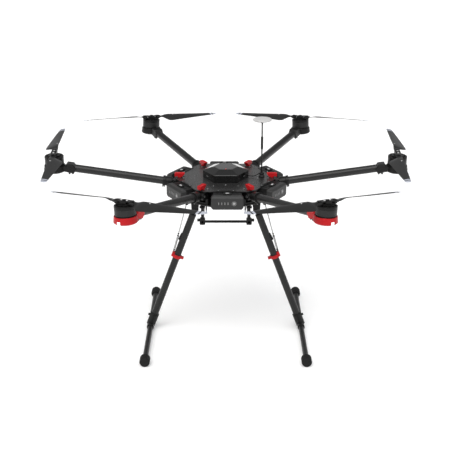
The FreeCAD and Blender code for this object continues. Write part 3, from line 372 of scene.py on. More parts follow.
RED = (0.42, 0.008, 0.011, 1)
PAINTS = {
    "plate": carbon("carbon_plate", True, 0.019, 0.24, 0.0005),
    "tube": carbon("arm_carbon", False, 0.011, 0.34),
    "leg": carbon("leg_carbon", False, 0.009, 0.38),
    "skid": carbon("skid_carbon", False, 0.008, 0.40),
    "frame": moulded("frame_alloy", grey(0.009), 0.42, edge=0.0006, Metallic=0.1),
    "circuit": board_paint(),
    "cover": moulded("cover_gloss", grey(0.005), 0.16, 0.02, 0.00008, 0.1,
                     Coat_Weight=0.6, Coat_Roughness=0.06),
    "steel": brushed("fastener_steel", 0.50, 0.25, (1, 1, 6), 0.0003),
    "rail": moulded("rail_black", grey(0.007), 0.34, edge=0.0006, Metallic=0.1),
    "mast": moulded("mast_black", grey(0.007), 0.42),
    "cable": moulded("cable_black", grey(0.006), 0.62, 0.0012, 0.0001),
    "gear": moulded("gear_black", grey(0.008), 0.38, edge=0.0006, Metallic=0.1),
    "antenna": moulded("antenna_white", grey(0.50, 0.006), 0.38, vary=0.03),
    "red_base": moulded("base_red", RED, 0.34, 0.0005, 0.00003, 0.08, Metallic=0.15),
    "black_base": moulded("base_black", grey(0.008), 0.36, Metallic=0.1),
    "bell": moulded("motor_alloy", grey(0.008), 0.33, 0.0005, 0.00003, Metallic=0.2),
    "bell_side": moulded("motor_side", grey(0.022), 0.38, 0.0005, 0.00003, Metallic=0.2),
    "copper": moulded("winding", (0.16, 0.07, 0.03, 1), 0.35, 0.0009, 0.0002, Metallic=0.7),
    "blade": blade_paint(),
    "dull_red": moulded("collar_red", (0.10, 0.006, 0.006, 1), 0.45),
    "bright": moulded("polished_cap", grey(0.70), 0.26, vary=0.04, Metallic=0.35, Specular_IOR_Level=0.6),
    "knob": moulded("lock_red", RED, 0.36, 0.0006, 0.00005, 0.10),
    "battery": moulded("battery_shell", grey(0.007), 0.48),
    "cap": moulded("battery_cap", grey(0.028), 0.42, vary=0.10),
    "mark": moulded("battery_mark", grey(0.30), 0.45, vary=0.05),
    "lamp": Paint("lamp_window", Base_Color=(0.80, 0.88, 0.90, 1), Roughness=0.3,
                  Emission_Color=(0.85, 1.0, 1.0, 1), Emission_Strength=0.35),
    "smoke_lamp": moulded("smoked_lamp", grey(0.05), 0.15, vary=0.1),
    "spring": brushed("spring_steel", 0.26, 0.34, (1, 1, 1)),
    "rod": moulded("pale_rod", grey(0.46), 0.35, vary=0.05),
    "link": moulded("link_white", (0.62, 0.65, 0.74, 1), 0.35, vary=0.05),
    "rubber": moulded("foot_rubber", grey(0.007), 0.66, 0.0014, 0.00012),
}


# ---- shapes -------------------------------------------------------------------------
MM = Matrix.Scale(0.001, 4)
FACE_OUT = Matrix(((0, 0, 1, 0), (1, 0, 0, 0), (0, 1, 0, 0), (0, 0, 0, 1)))      # a slab faces +X
UPRIGHT = Matrix.Rotation(math.radians(-90), 4, "Y")    # a shape turned about X stands up
ON_EDGE = Matrix.Rotation(math.radians(90), 4, "X")     # a slab's outline becomes x and z


def about_z(degrees):
    """A turn about the vertical axis."""
    return Matrix.Rotation(math.radians(degrees), 4, "Z")


def eased(shape, width=0.5, segments=2, corner=32.0):
    """Round every edge whose faces turn by more than the corner angle."""
    limit = math.radians(corner)
    sharp = [e for e in shape.edges if len(e.link_faces) == 2 and e.calc_face_angle() > limit]
    if sharp and width > 0:
        bmesh.ops.bevel(shape, geom=sharp, offset=width, offset_type="OFFSET", segments=segments,
                        profile=0.5, affect="EDGES", clamp_overlap=True, material=-1)
    return shape


def moved(shape, matrix):
    """The shape itself, moved."""
    bmesh.ops.transform(shape, matrix=matrix, verts=shape.verts)
    if matrix.determinant() < 0:
        bmesh.ops.reverse_faces(shape, faces=shape.faces)
    return shape


def joined(*shapes):
    """One shape from several."""
    whole = bmesh.new()
    for shape in shapes:
        mesh = bpy.data.meshes.new("part")
        shape.to_mesh(mesh)
        shape.free()
        whole.from_mesh(mesh)
        bpy.data.meshes.remove(mesh)
    return whole


def bar(low, high, width=0.6, segments=2):
    """A box between two corners with rounded edges."""
    size = [h - l for l, h in zip(low, high)]
    middle = [(h + l) / 2 for l, h in zip(low, high)]
    shape = bmesh.new()
    place = Matrix.Translation(middle) @ Matrix.Diagonal((*size, 1))
    bmesh.ops.create_cube(shape, size=1.0, matrix=place)
    return eased(shape, width, segments)


def rod(radius, start, end, width=0.4, sides=32, far_radius=None):
    """A round bar, or a cone, between two points with rounded rims."""
    start, end = Vector(start), Vector(end)
    along = end - start
    place = Matrix.Translation((start + end) / 2) @ along.to_track_quat("Z", "Y").to_matrix().to_4x4()
    shape = bmesh.new()
    bmesh.ops.create_cone(shape, cap_ends=True, segments=sides, radius1=radius,
                          radius2=radius if far_radius is None else far_radius,
                          depth=along.length, matrix=place)
    return eased(shape, width)


def slab(outline, low, high, width=0.6, segments=2):
    """A plate with a polygon outline, from one height to another."""
    shape = bmesh.new()
    face = shape.faces.new([shape.verts.new((x, y, low)) for x, y in outline])
    lifted = bmesh.ops.extrude_face_region(shape, geom=[face])["geom"]
    bmesh.ops.translate(shape, vec=(0, 0, high - low),
                        verts=[g for g in lifted if isinstance(g, bmesh.types.BMVert)])
    bmesh.ops.recalc_face_normals(shape, faces=shape.faces)
    return eased(shape, width, segments)


def turned(profile, width=0.0, sides=48, closed=False, segments=2):
    """Spin points of (along, radius) about X; a closed profile makes a hollow shape."""
    shape = bmesh.new()
    corners = [shape.verts.new((along, 0, radius)) for along, radius in profile]
    pairs = list(zip(corners, corners[1:])) + ([(corners[-1], corners[0])] if closed else [])
    line = [shape.edges.new(pair) for pair in pairs]
    bmesh.ops.spin(shape, geom=corners + line, cent=(0, 0, 0), axis=(1, 0, 0),
                   angle=2 * math.pi, steps=sides, use_merge=True)
    bmesh.ops.remove_doubles(shape, verts=shape.verts, dist=1e-4)
    bmesh.ops.recalc_face_normals(shape, faces=shape.faces)
    return eased(shape, width, segments)


def skinned(rings, sides, rule):
    """A closed tube of rings; the rule gives each corner from its ring and its turn."""
    shape = bmesh.new()
    bmesh.ops.create_grid(shape, x_segments=rings - 1, y_segments=sides, size=1.0)
    for vert in shape.verts:
        ring = round((vert.co.x + 1) / 2 * (rings - 1))
        vert.co = rule(ring, math.pi * vert.co.y)
    bmesh.ops.remove_doubles(shape, verts=shape.verts, dist=1e-4)
    bmesh.ops.holes_fill(shape, edges=[e for e in shape.edges if e.is_boundary], sides=0)
    bmesh.ops.recalc_face_normals(shape, faces=shape.faces)
    return shape


def capsule(half_length, radius, arc=10):
    """Outline of a bar with round ends along X."""
    return [(s * half_length + radius * math.sin(s * math.pi * k / arc),
             -s * radius * math.cos(math.pi * k / arc)) for s in (1, -1) for k in range(arc + 1)]


def mend_turn(point, middle):
    """Turn of a corner about X, on the same lap as its face's middle."""
    turn, home = math.atan2(point.z, point.y), math.atan2(middle.z, middle.y)
    return turn + 2 * math.pi * round((home - turn) / (2 * math.pi))


def round_tube(point, middle):
    """Map of a tube along X: length, and girth closed on a whole number of tows."""
    return point.x, mend_turn(point, middle) * TUBE_R


def flat_map(point, middle):
    """Map of a blade: length and chord."""
    return point.x, point.y


def mapped(shape, rule):
    """Give a shape its own map, in millimetres."""
    layer = shape.loops.layers.uv.new("flow")
    for face in shape.faces:
        middle = face.calc_center_median()
        for loop in face.loops:
            loop[layer].uv = rule(loop.vert.co, middle)
    return shape


CREASE = math.radians(38)


def piece(name, shape, place, body, paint, replaces=(), even=True):
    """Set a shape in its place, on its body, with its finish."""
    moved(shape, place)
    for face in shape.faces:
        face.smooth = True
    for edge in shape.edges:
        edge.smooth = len(edge.link_faces) == 2 and edge.calc_face_angle() < CREASE
    mesh = bpy.data.meshes.new(name)
    shape.to_mesh(mesh)
    shape.free()
    made = linked(name, mesh)
    mesh.materials.append(PAINTS[paint].material)
    if even:
        made.modifiers.new("even shading", "WEIGHTED_NORMAL").keep_sharp = True
    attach(made, body)
    if replaces:
        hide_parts(*replaces)
    return made


def solids_of(node):
    """The separate solids of a node as merged copies, each with its two corners."""
    whole = bmesh.new()
    whole.from_mesh(frame["nodes"][node].data)
    bmesh.ops.remove_doubles(whole, verts=whole.verts, dist=2e-6)
    left, found = set(whole.verts), []
    while left:
        island, border = set(), {left.pop()}
        while border:
            vert = border.pop()
            island.add(vert)
            border |= {e.other_vert(vert) for e in vert.link_edges} - island
        left -= island
        found.append(island)
    shapes = []
    for island in found:
        part = whole.copy()
        keep = {v.index for v in island}
        part.verts.ensure_lookup_table()
        bmesh.ops.delete(part, geom=[v for v in part.verts if v.index not in keep], context="VERTS")
        low = Vector([min(v.co[k] for v in part.verts) for k in range(3)])
        high = Vector([max(v.co[k] for v in part.verts) for k in range(3)])
        shapes.append((part, low, high))
    whole.free()
    return shapes


# ---- places -------------------------------------------------------------------------
def joint_mm(name):
    """Place of a joint in millimetres."""
    return Vector(JOINTS[name]["pos_m"]) * 1000


def frame_matrix(origin, out, across, up):
    """Placement that brings millimetres to metres at an origin with given axes."""
    turn = Matrix((out, across, up)).transposed().to_4x4()
    return Matrix.Translation(origin) @ turn @ MM


def on_arm(name):
    """Place of an arm's shapes: pivot at the origin, tube along X."""
    fold = JOINTS["arm_fold_" + name]
    pivot, across = Vector(fold["pos_m"]), -Vector(fold["axis"])
    level = Vector((pivot.x, pivot.y, 0)).normalized()
    out = level * math.cos(math.radians(ARM_RISE)) + Vector((0, 0, math.sin(math.radians(ARM_RISE))))
    return frame_matrix(pivot, out, across, out.cross(across))


def on_rotor(name, blade=None):
    """Place of a rotor's shapes, with X towards blade a, or of one blade at its pin."""
    spin = JOINTS["rotor_spin_" + name]
    origin, up = Vector(spin["pos_m"]), Vector(spin["axis"])
    pin = Vector(JOINTS["blade_fold_%s_%s" % (name, blade or "a")]["pos_m"])
    out = pin - origin
    out = (out - up * out.dot(up)).normalized()
    return frame_matrix(pin if blade else origin, out, up.cross(out), up)


def on_seat(name):
    """Place of a motor seat's shapes: rotor's origin and lean, X outwards."""
    spin = JOINTS["rotor_spin_" + name]
    origin, up = Vector(spin["pos_m"]), Vector(spin["axis"])
    across = Vector((0, 0, 1)).cross(Vector((origin.x, origin.y, 0)).normalized())
    out = across.cross(up).normalized()
    return frame_matrix(origin, out, up.cross(out), up)


def arm_length():
    """Folding pivot to the tube's outer end."""
    pivot = Vector(JOINTS["arm_fold_right"]["pos_m"])
    motor = Vector(JOINTS["rotor_spin_right"]["pos_m"])
    return ((motor - pivot).x * 1000 - MOTOR_END_GAP) / math.cos(math.radians(ARM_RISE))


# ---- arms ---------------------------------------------------------------------------
def arm_tube():
    """Carbon tube of an arm."""
    end, inner = arm_length(), TUBE_R - TUBE_WALL
    rings = [TUBE_START + (end - TUBE_START) * k / 12 for k in range(13)]
    profile = [(x, TUBE_R) for x in rings] + [(end, inner), (TUBE_START, inner)]
    return mapped(turned(profile, sides=64, closed=True), round_tube)


def arm_fitting():
    """Barrel on the pivot pin, sleeve and clamping collar."""
    sleeve = turned([(SLEEVE_FROM, 0), (SLEEVE_FROM, SLEEVE_R - 1.5), (SLEEVE_FROM + 5, SLEEVE_R),
                     (SLEEVE_TO - 1, SLEEVE_R), (SLEEVE_TO - 1, SLEEVE_R - 1), (SLEEVE_TO, SLEEVE_R - 1),
                     (SLEEVE_TO, COLLAR_R), (SLEEVE_TO + COLLAR_W, COLLAR_R),
                     (SLEEVE_TO + COLLAR_W, TUBE_R + 0.3), (SLEEVE_TO, 0)], 0.7, 64)
    lug = bar((SLEEVE_TO, -4.5, -COLLAR_R - 3.5), (SLEEVE_TO + COLLAR_W, 4.5, 2 - COLLAR_R), 0.9)
    rib = moved(bar((SLEEVE_FROM + 5, -2, -1), (SLEEVE_TO - 3, 2, SLEEVE_R + 0.8), 0.5), ON_EDGE)
    return joined(rod(BARREL_R, (0, -BARREL_HALF, 0), (0, BARREL_HALF, 0), 0.8, 48),
                  bar((0, -9, -9), (SLEEVE_FROM + 3, 9, 9), 1.5), sleeve, lug, rib)


def arm_screws():
    """Screw through the collar's lug."""
    middle = SLEEVE_TO + COLLAR_W / 2
    return rod(1.9, (middle, -6.2, -COLLAR_R - 1), (middle, 6.2, -COLLAR_R - 1), 0.3, 20)


def make_arm(name, place, body):
    """Everything on one arm's own body but the motor seat."""
    node = "arm_" + name
    piece(node + "_tube", arm_tube(), place, body, "tube", [node])
    piece(node + "_fitting", arm_fitting(), place, body, "black_base")
    piece(node + "_screws", arm_screws(), place, body, "steel")
    if name.startswith("front"):
        mark = bar((SLEEVE_FROM + 7, -2.6, SLEEVE_R - 1), (SLEEVE_FROM + 14, 2.6, SLEEVE_R + 0.4), 0.4)
        piece(node + "_mark", mark, place, body, "dull_red")


# ---- motors and propellers ----------------------------------------------------------
def seat_shape():
    """Motor seat: a cup with a raised lip round the bell's lower rim."""
    low, rim = -GAP - SEAT_H, -GAP
    profile = [(low, 0), (low, SEAT_R - 4), (low + 1.2, SEAT_R - 3), (low + 4, SEAT_R),
               (rim - 1.0, SEAT_R - 2), (rim, SEAT_R - 2.8), (rim, SEAT_R - 3.6),
               (rim - 3.5, SEAT_R - 4.6), (rim - 3.5, 0)]
    return moved(turned(profile, 0.5, 72), UPRIGHT)


def neck_shape():
    """Clamp from the seat to the arm tube, in the arm's upright plane from the hub's axis."""
    spin, pivot = (joint_mm(j) for j in ("rotor_spin_right", "arm_fold_right"))
    rise = math.tan(math.radians(ARM_RISE))
    line = lambda r: pivot.z + (r - pivot.x) * rise
    start, end = spin.x - NECK_LENGTH, spin.x - SEAT_R + 8
    nose = start + NECK_NOSE
    half, rim, low = TUBE_R + NECK_WALL, spin.z - GAP, spin.z - GAP - SEAT_H
    outline = [(start, line(start)), (nose, line(nose) - half), (end - 12, low), (end, low + 2),
               (end, rim - 3), (spin.x - SEAT_R - 2, rim - 3),
               (spin.x - SEAT_R - 5, line(spin.x - SEAT_R) + half - 1), (nose, line(nose) + half)]
    neck = moved(slab(outline, -half, half, 2.6, 3), ON_EDGE)
    rib = moved(slab([(nose + 3, line(nose) - 1.6), (end - 12, line(end) - 1.6), (end - 12, line(end) + 1.6),
                      (nose + 3, line(nose) + 1.6)], -half - 0.5, half + 0.5, 0.4), ON_EDGE)
    thumbs = [rod(3.2, (nose + x, y, line(nose) - half - 2.5), (nose + x, y, line(nose) - half + 3), 0.7, 24)
              for x in (3, 14) for y in (-9, 9)]
    return joined(neck, rib), joined(*thumbs)


def stator_shape():
    """Slotted stator's windings inside the bell."""
    coils = [moved(bar((14, -4.2, 2), (25, 4.2, 25), 2.0), about_z(30 * k)) for k in range(12)]
    core = rod(15, (0, 0, -2), (0, 0, 26), 0.5)
    return joined(core, *coils)


def bell_cap():
    """Top of a motor bell: rim, spokes and boss."""
    top = BELL_H
    rim = turned([(top - 9.0, BELL_R - 3), (top - 9.0, BELL_R - 0.6), (top - 8.2, BELL_R),
                  (top - 2.6, BELL_R), (top - 0.8, BELL_R - 0.8), (top, BELL_R - 2.6),
                  (top, BELL_R - 5.2), (top - 2.2, BELL_R - 5.4), (top - 3.2, BELL_R - 3)],
                 sides=72, closed=True)
    boss = turned([(top - 3, 0), (top - 3, 19), (top - 0.6, 19.4), (top, 18.6), (top, 0)], 0.3, 64)
    spokes = [moved(bar((17.5, -2.3, top - 2.6), (BELL_R - 4.4, 2.3, top - 0.2), 0.7), about_z(30 * k))
              for k in range(12)]
    foot = turned([(0, BELL_R - BELL_WALL), (0, BELL_R - 1.4), (3.2, BELL_R - 1.0),
                   (3.2, BELL_R - BELL_WALL)], sides=72, closed=True)
    return joined(moved(rim, UPRIGHT), moved(boss, UPRIGHT), moved(foot, UPRIGHT), *spokes)


def bell_side():
    """Flux ring below the cap, with its machined bands."""
    top = BELL_H - 9.4
    profile = [(3.0, BELL_R - BELL_WALL), (3.0, BELL_R - 0.9), (3.8, BELL_R - 0.3), (7.4, BELL_R - 0.3),
               (7.8, BELL_R - 0.6), (8.2, BELL_R - 0.6), (8.6, BELL_R - 0.3), (top - 0.8, BELL_R - 0.3),
               (top, BELL_R - 0.9), (top, BELL_R - BELL_WALL)]
    return moved(turned(profile, sides=72, closed=True), UPRIGHT)


def hub_shape():
    """Two clamp bars, core and cap that hold the folding blades."""
    top = BELL_H
    leaf = (HUB_H - HUB_FLANGE - ROOT_T - 2 * GAP) / 2
    leaves = [slab(capsule(PIN_OFFSET, 9.0), z, z + leaf, 0.6)
              for z in (top + HUB_FLANGE, top + HUB_H - leaf)]
    core = bar((-11, -HUB_HALF, top), (11, HUB_HALF, top + HUB_H), 1.0)
    flange = rod(20.0, (0, 0, top), (0, 0, top + HUB_FLANGE), 0.6, 48)
    cap = rod(6.0, (0, 0, top + HUB_H), (0, 0, top + HUB_H + 2.0), 0.7)
    posts = [rod(5.0, (x, 0, top + HUB_H - 0.2), (x, 0, top + HUB_H + 1.2), 0.4)
             for x in (-PIN_OFFSET, PIN_OFFSET)]
    shaft = rod(4.0, (0, 0, -16), (0, 0, top), 0.2, 24)
    return joined(core, flange, cap, shaft, *(leaves + posts))


def hub_screws():
    """Cap screws of a hub, with a round recess in each head."""
    high = BELL_H + HUB_H
    profile = [(high - 1, 0), (high - 1, 3.3), (high + 0.8, 3.3), (high + 1.2, 2.9), (high + 1.2, 1.3),
               (high + 0.3, 1.2), (high + 0.3, 0)]
    return joined(*[moved(turned(profile, 0, 24), Matrix.Translation((x, 0, 0)) @ UPRIGHT)
                    for x in (-HUB_SCREW_AT, HUB_SCREW_AT)])


def blade_stations():
    """Distance from the pin, chord, thickness and pitch down a blade."""
    span = PROP_R - PIN_OFFSET
    stations = [(6.0, ROOT_W - 1, 0.95 * ROOT_T, 1.0), (11.0, ROOT_W - 0.5, 0.97 * ROOT_T, 4.0),
                (0.07 * span, ROOT_W + 1, ROOT_T, 8.0), (0.088 * span, 0.50 * CHORD, ROOT_T, 11.5),
                (0.105 * span, 0.64 * CHORD, ROOT_T, 15.0), (0.125 * span, 0.82 * CHORD, ROOT_T, 17.5),
                (0.15 * span, 0.96 * CHORD, ROOT_T, ROOT_PITCH)]
    for share in (0, 0.10, 0.20, 0.30, 0.42, 0.54, 0.66, 0.78, 0.88, 0.95):
        chord = CHORD + (TIP_CHORD - CHORD) * share
        pitch = ROOT_PITCH + (TIP_PITCH - ROOT_PITCH) * share
        stations.append(((WIDEST + (1 - WIDEST) * share) * span, chord, 0.10 * chord, pitch))
    for share, width, thick in ((0.98, 0.93, 0.09), (0.993, 0.78, 0.075), (1.0, 0.52, 0.05)):
        stations.append((share * span, width * TIP_CHORD, thick * TIP_CHORD, TIP_PITCH))
    return stations


def blade_shape():
    """One folding blade along X from its pin, leading edge towards +Y."""
    stations, span = blade_stations(), PROP_R - PIN_OFFSET

    def rule(ring, turn):
        x, chord, thick, pitch = stations[ring]
        along = (1 - math.cos(turn)) / 2
        swell = math.sqrt(along) * (1 - along) * 2.6
        up = (0.30 + 0.66 * math.sin(turn)) if turn > 0 else (0.30 + 0.66 * math.sin(turn) * 0.62)
        up = up * min(1.0, swell * 1.05)
        swing = math.radians(pitch)
        lead = ROOT_W / 2 - max(0.0, x / span - 0.97) * 4.0 * TIP_CHORD
        y, z = (0.42 - along) * chord, up * thick * 0.55
        return Vector((x, y * math.cos(swing) - z * math.sin(swing) + lead - 0.42 * chord,
                       y * math.sin(swing) + z * math.cos(swing)))

    wing = skinned(len(stations), 32, rule)
    eye = turned([(-ROOT_T / 2, 2.3), (-ROOT_T / 2, ROOT_W / 2), (ROOT_T / 2, ROOT_W / 2),
                  (ROOT_T / 2, 2.3)], 0.5, 40, closed=True)
    tongue = bar((3, -ROOT_W / 2 + 1, -ROOT_T / 2), (11, ROOT_W / 2 - 1, ROOT_T / 2), 0.6)
    return mapped(joined(wing, moved(eye, UPRIGHT), tongue), flat_map)


def make_motor(k, name, body):
    """Motor seat and clamp on the arm, and the bell, hub and blades on their own bodies."""
    seat, rotor = on_seat(name), on_rotor(name)
    front = name.startswith("front")
    paint, slot = ("red_base", "base_red") if front else ("black_base", "base_black")
    node = "motor_base_" + name
    piece(node + "_seat", seat_shape(), seat, body, paint, [node])
    neck, thumbs = neck_shape()
    piece(node + "_neck", neck, about_z(60 * k) @ MM, body, paint)
    piece(node + "_thumbs", thumbs, about_z(60 * k) @ MM, body, "gear")
    piece(node + "_stator", stator_shape(), seat, body, "copper")
    low, rim = -GAP - SEAT_H, -GAP - LAMP_TOP
    glass = slab([(28, low + 0.4), (SEAT_R - 3.0, low + 0.4), (SEAT_R + 0.2, low + 4.2),
                  (SEAT_R - 0.6, rim), (28, rim)], -LAMP_HALF, LAMP_HALF, 0.7)
    piece(node + "_lamp", moved(glass, ON_EDGE), seat, body, "lamp" if front else "smoke_lamp")

    body = "rotor_" + name
    piece(body + "_cap", bell_cap(), rotor, body, "bell", [body])
    piece(body + "_side", bell_side(), rotor, body, "bell_side")
    piece(body + "_hub", hub_shape(), rotor, body, "bell")
    piece(body + "_screws", hub_screws(), rotor, body, "bright")
    handed = Matrix.Diagonal((1, -1 if k % 2 else 1, 1, 1))
    for letter in "ab":
        blade = "blade_%s_%s" % (name, letter)
        piece(blade + "_wing", blade_shape(), on_rotor(name, letter) @ handed, blade,
              "blade", [blade], even=False)


# ---- locks --------------------------------------------------------------------------
def knob_shape():
    """Lever of a quarter-turn lock: a wedge with a long groove, raised at its outer end."""
    base, half, top = GAP, KNOB_L / 2, GAP + KNOB_H
    outline = [(-half + 8.5, base + 2.2), (half - 10, base + 2.2), (half - 10, base + 4.0),
               (half - 4.5, base + 4.0), (half - 4.5, base + 2.2), (half - 0.5, base + 2.2),
               (half, top - 1.0), (half - 1, top), (-half + 1, top), (-half, top - 1.5),
               (-half + 1.5, top - 5.0)]
    lever = moved(slab(outline, -KNOB_W / 2, KNOB_W / 2, 0.0), ON_EDGE)
    top_face = max(lever.faces, key=lambda f: f.calc_center_median().z)
    bmesh.ops.inset_region(lever, faces=[top_face], thickness=3.4, depth=0.0)
    bmesh.ops.translate(lever, vec=(0, 0, -2.6), verts=top_face.verts)
    eased(lever, 1.0, 3)
    skirt = rod(KNOB_W / 2 + 1.5, (0, 0, base), (0, 0, base + 2.6), 0.5, 40)
    return joined(lever, skirt)


def make_knob(k, name):
    """Red lock above an arm."""
    turn = JOINTS["lock_turn_" + name]
    node = "lock_knob_" + name
    place = Matrix.Translation(turn["pos_m"]) @ about_z(60 * k) @ MM
    piece(node + "_lever", knob_shape(), place, node, "knob", [node])


# ---- batteries ----------------------------------------------------------------------
def battery_body(low, high):
    """Pack behind the cap: ribbed top and the release clip."""
    half, front = BATTERY_W / 2 - PACK_INSET, BATTERY_FACE - CAP_L
    back = BATTERY_FACE - BATTERY_L
    core = bar((back, -half, low), (front, half, high - 1.2), 1.6)
    ribs = [bar((back + 8, y - 6.2, high - 2.0), (front - 1, y + 6.2, high), 0.6)
            for y in (-38, -23, -8, 8, 23, 38)]
    clip = bar((front - CLIP_L, -CLIP_W / 2, high - 2), (front + 1, CLIP_W / 2, high + CLIP_H), 1.3, 3)
    ridges = [bar((front - CLIP_L + 1.2, y, high + CLIP_H - 1), (front - 1.0, y + 1.2, high + CLIP_H + 0.2),
                  0.3) for y in (-12, -9.6, 8.4, 10.8)]
    return joined(core, clip, *(ribs + ridges))


def battery_cap(low, high):
    """End cap with cut corners and a sloping strip along its upper front edge."""
    half, back, face, cut = BATTERY_W / 2, BATTERY_FACE - CAP_L, BATTERY_FACE, CAP_CUT
    low += CAP_RAISE
    outline = [(-half, low + cut), (-half + cut, low), (half - cut, low), (half, low + cut),
               (half, high - cut + 1), (half - cut + 1, high), (-half + cut - 1, high),
               (-half, high - cut + 1)]
    cap = slab(outline, back, face, 0.0)
    bmesh.ops.bisect_plane(cap, geom=cap.verts[:] + cap.edges[:] + cap.faces[:],
                           plane_co=(0, high, face - CAP_SLOPE), plane_no=(0, 1, 1), clear_outer=True)
    bmesh.ops.holes_fill(cap, edges=[e for e in cap.edges if e.is_boundary], sides=0)
    bmesh.ops.recalc_face_normals(cap, faces=cap.faces)
    eased(cap, 0.9, 2, 20.0)
    seam = slab([(x * (1 - 0.006), y) for x, y in outline], back - 0.8, back, 0.0)
    for vert in seam.verts:
        vert.co.y -= 0.6 if vert.co.y > (low + high) / 2 else -0.6
    return moved(joined(cap, seam), FACE_OUT)


def battery_lights(middle):
    """Four level bars, the button's ring and its dotted centre."""
    face = BATTERY_FACE
    bars = [bar((face - 2.0, y - 0.95, middle - 4.4), (face + 0.1, y + 0.95, middle + 4.4), 0.4)
            for y in LIGHTS_Y]
    ring = turned([(face - 1, 6.4), (face - 1, 7.4), (face + 0.1, 7.3), (face + 0.1, 6.6)],
                  sides=40, closed=True)
    disc = turned([(face - 1, 0), (face - 1, 4.6), (face + 0.05, 4.4), (face + 0.1, 4.0), (face + 0.1, 0)],
                  0, 32)
    return joined(*bars), moved(joined(ring, disc), Matrix.Translation((0, BUTTON_Y, middle)))


def make_battery(k, name):
    """Slide-in battery with its button and four level lights."""
    node = "battery_" + name
    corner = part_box("battery_front_bay")
    low, high = corner[0].z * 1000, corner[1].z * 1000 - CLIP_H
    place = about_z(60 * k + 30) @ MM @ Matrix.Translation((0, BATTERY_SHIFT, 0))
    piece(node + "_body", battery_body(low, high), place, node, "battery", [node])
    piece(node + "_cap", battery_cap(low, high), place, node, "cap")
    bars, button = battery_lights((low + high) / 2 + LIGHT_RISE)
    oval = moved(slab(capsule(2.8, 3.4), high + CLIP_H - 1, high + CLIP_H + 0.2, 0.3),
                 Matrix.Translation((BATTERY_FACE - CAP_L - CLIP_L / 2, 0, 0)) @ about_z(90))
    piece(node + "_oval", oval, place, node, "bright")
    piece(node + "_lights", bars, place, node, "mark")
    piece(node + "_button", button, place, node, "mark")


# ---- cover and plates ---------------------------------------------------------------
def cover_shape():
    """Hexagonal cover: upright walls, sloped facets and a flat top."""
    rings = [(COVER_R, 0), (COVER_R, COVER_WALL_H), (COVER_TOP_R, COVER_H)]

    def rule(ring, turn):
        radius, height = rings[ring]
        return Vector((radius * math.cos(turn), radius * math.sin(turn), COVER_BASE + height))

    return eased(skinned(len(rings), 6, rule), 1.5, 3, 15.0)


def cover_trim():
    """Dark vents in the cover's sides."""
    slits = [moved(bar((COVER_FLAT - 1, 14, z), (COVER_FLAT + 0.12, 26, z + 1.8), 0.05),
                   about_z(60 * k + 30)) for k in range(6)
             for z in (COVER_BASE + 8, COVER_BASE + 12, COVER_BASE + 16)]
    return joined(*slits)


def cover_ports():
    """Rims of the oval ports beside the cover's front corners."""
    rims = []
    for around, side in ((210, 1), (330, -1)):
        port = slab(capsule(3.6, 2.2), COVER_FLAT - 1.5, COVER_FLAT + 0.25, 0.3)
        port = moved(port, Matrix.Translation((0, -side * 8, COVER_BASE + 11)) @ FACE_OUT)
        rims.append(moved(port, about_z(around)))
    return joined(*rims)


def bay_trim():
    """Lip along the upper plate's edge over each battery."""
    lips = [moved(bar((BAY_EDGE - 7, -32, PLATE_TOP), (BAY_EDGE - 1.2, 32, PLATE_TOP + 1.6), 0.5),
                  about_z(60 * k + 30)) for k in range(6)]
    return joined(*lips)


def plate_screws():
    """Small bright screws on the upper plate and on the bay lips."""
    top = PLATE_TOP
    heads = [rod(1.7, (0, -88, top - 0.5), (0, -88, top + 1.0), 0.3, 20)]
    for k in range(6):
        for y in (-24, 24):
            head = rod(1.3, (BAY_EDGE - 4, y, top), (BAY_EDGE - 4, y, top + 2.2), 0.25, 16)
            heads.append(moved(head, about_z(60 * k + 30)))
        for y in (14, -14):
            head = rod(1.2, (104, y, top - 0.5), (104, y, top + 0.8), 0.25, 16)
            heads.append(moved(head, about_z(60 * k)))
    return joined(*heads)


def make_hub():
    """Cover and its trim, the small pieces on the plates, and finishes of the kept hub nodes."""
    piece("top_cover_shell", cover_shape(), MM, "root", "cover", ["top_cover"])
    piece("top_cover_vents", cover_trim(), MM, "root", "rubber")
    piece("top_cover_ports", cover_ports(), MM, "root", "steel")
    piece("bay_lips", bay_trim(), MM, "root", "frame")
    piece("plate_screws", plate_screws(), MM, "root", "bright")
    lens_z = COVER_BASE + COVER_H
    lens = rod(1.9, (0, -COVER_TOP_R * 0.74, lens_z - 2), (0, -COVER_TOP_R * 0.74, lens_z + 0.5), 0.3, 20)
    piece("cover_lamp", lens, MM, "root", "knob")
    for node, paint in (("upper_plate", "plate"), ("lower_plate", "plate"), ("hub_frame", "frame"),
                        ("electronics", "circuit"), ("fasteners", "steel"), ("gps_mount", "mast"),
                        ("payload_rails", "rail")):
        mesh = frame["nodes"][node].data
        mesh.materials.clear()
        mesh.materials.append(PAINTS[paint].material)


# ---- landing gear -------------------------------------------------------------------
def leg_frame():
    """Right leg's pivot, the skid's axis below it, and the leg's length and lean."""
    pivot = joint_mm("leg_fold_right")
    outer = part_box("skid_right")[1].x
    foot = Vector((outer * 1000 - FOOT_R, 0, FOOT_R))
    down = foot - pivot
    return pivot, foot, down.length, math.degrees(math.atan2(down.x, -down.z))


def leg_tube():
    """Carbon tube of a leg along X, from its knuckle to the tee."""
    _, _, length, _ = leg_frame()
    start, end, inner = LEG_TUBE_FROM, length - TEE_R + 1, LEG_R - LEG_WALL
    rings = [start + (end - start) * k / 12 for k in range(13)]
    return mapped(turned([(x, LEG_R) for x in rings] + [(end, inner), (start, inner)],
                         sides=56, closed=True), round_tube)


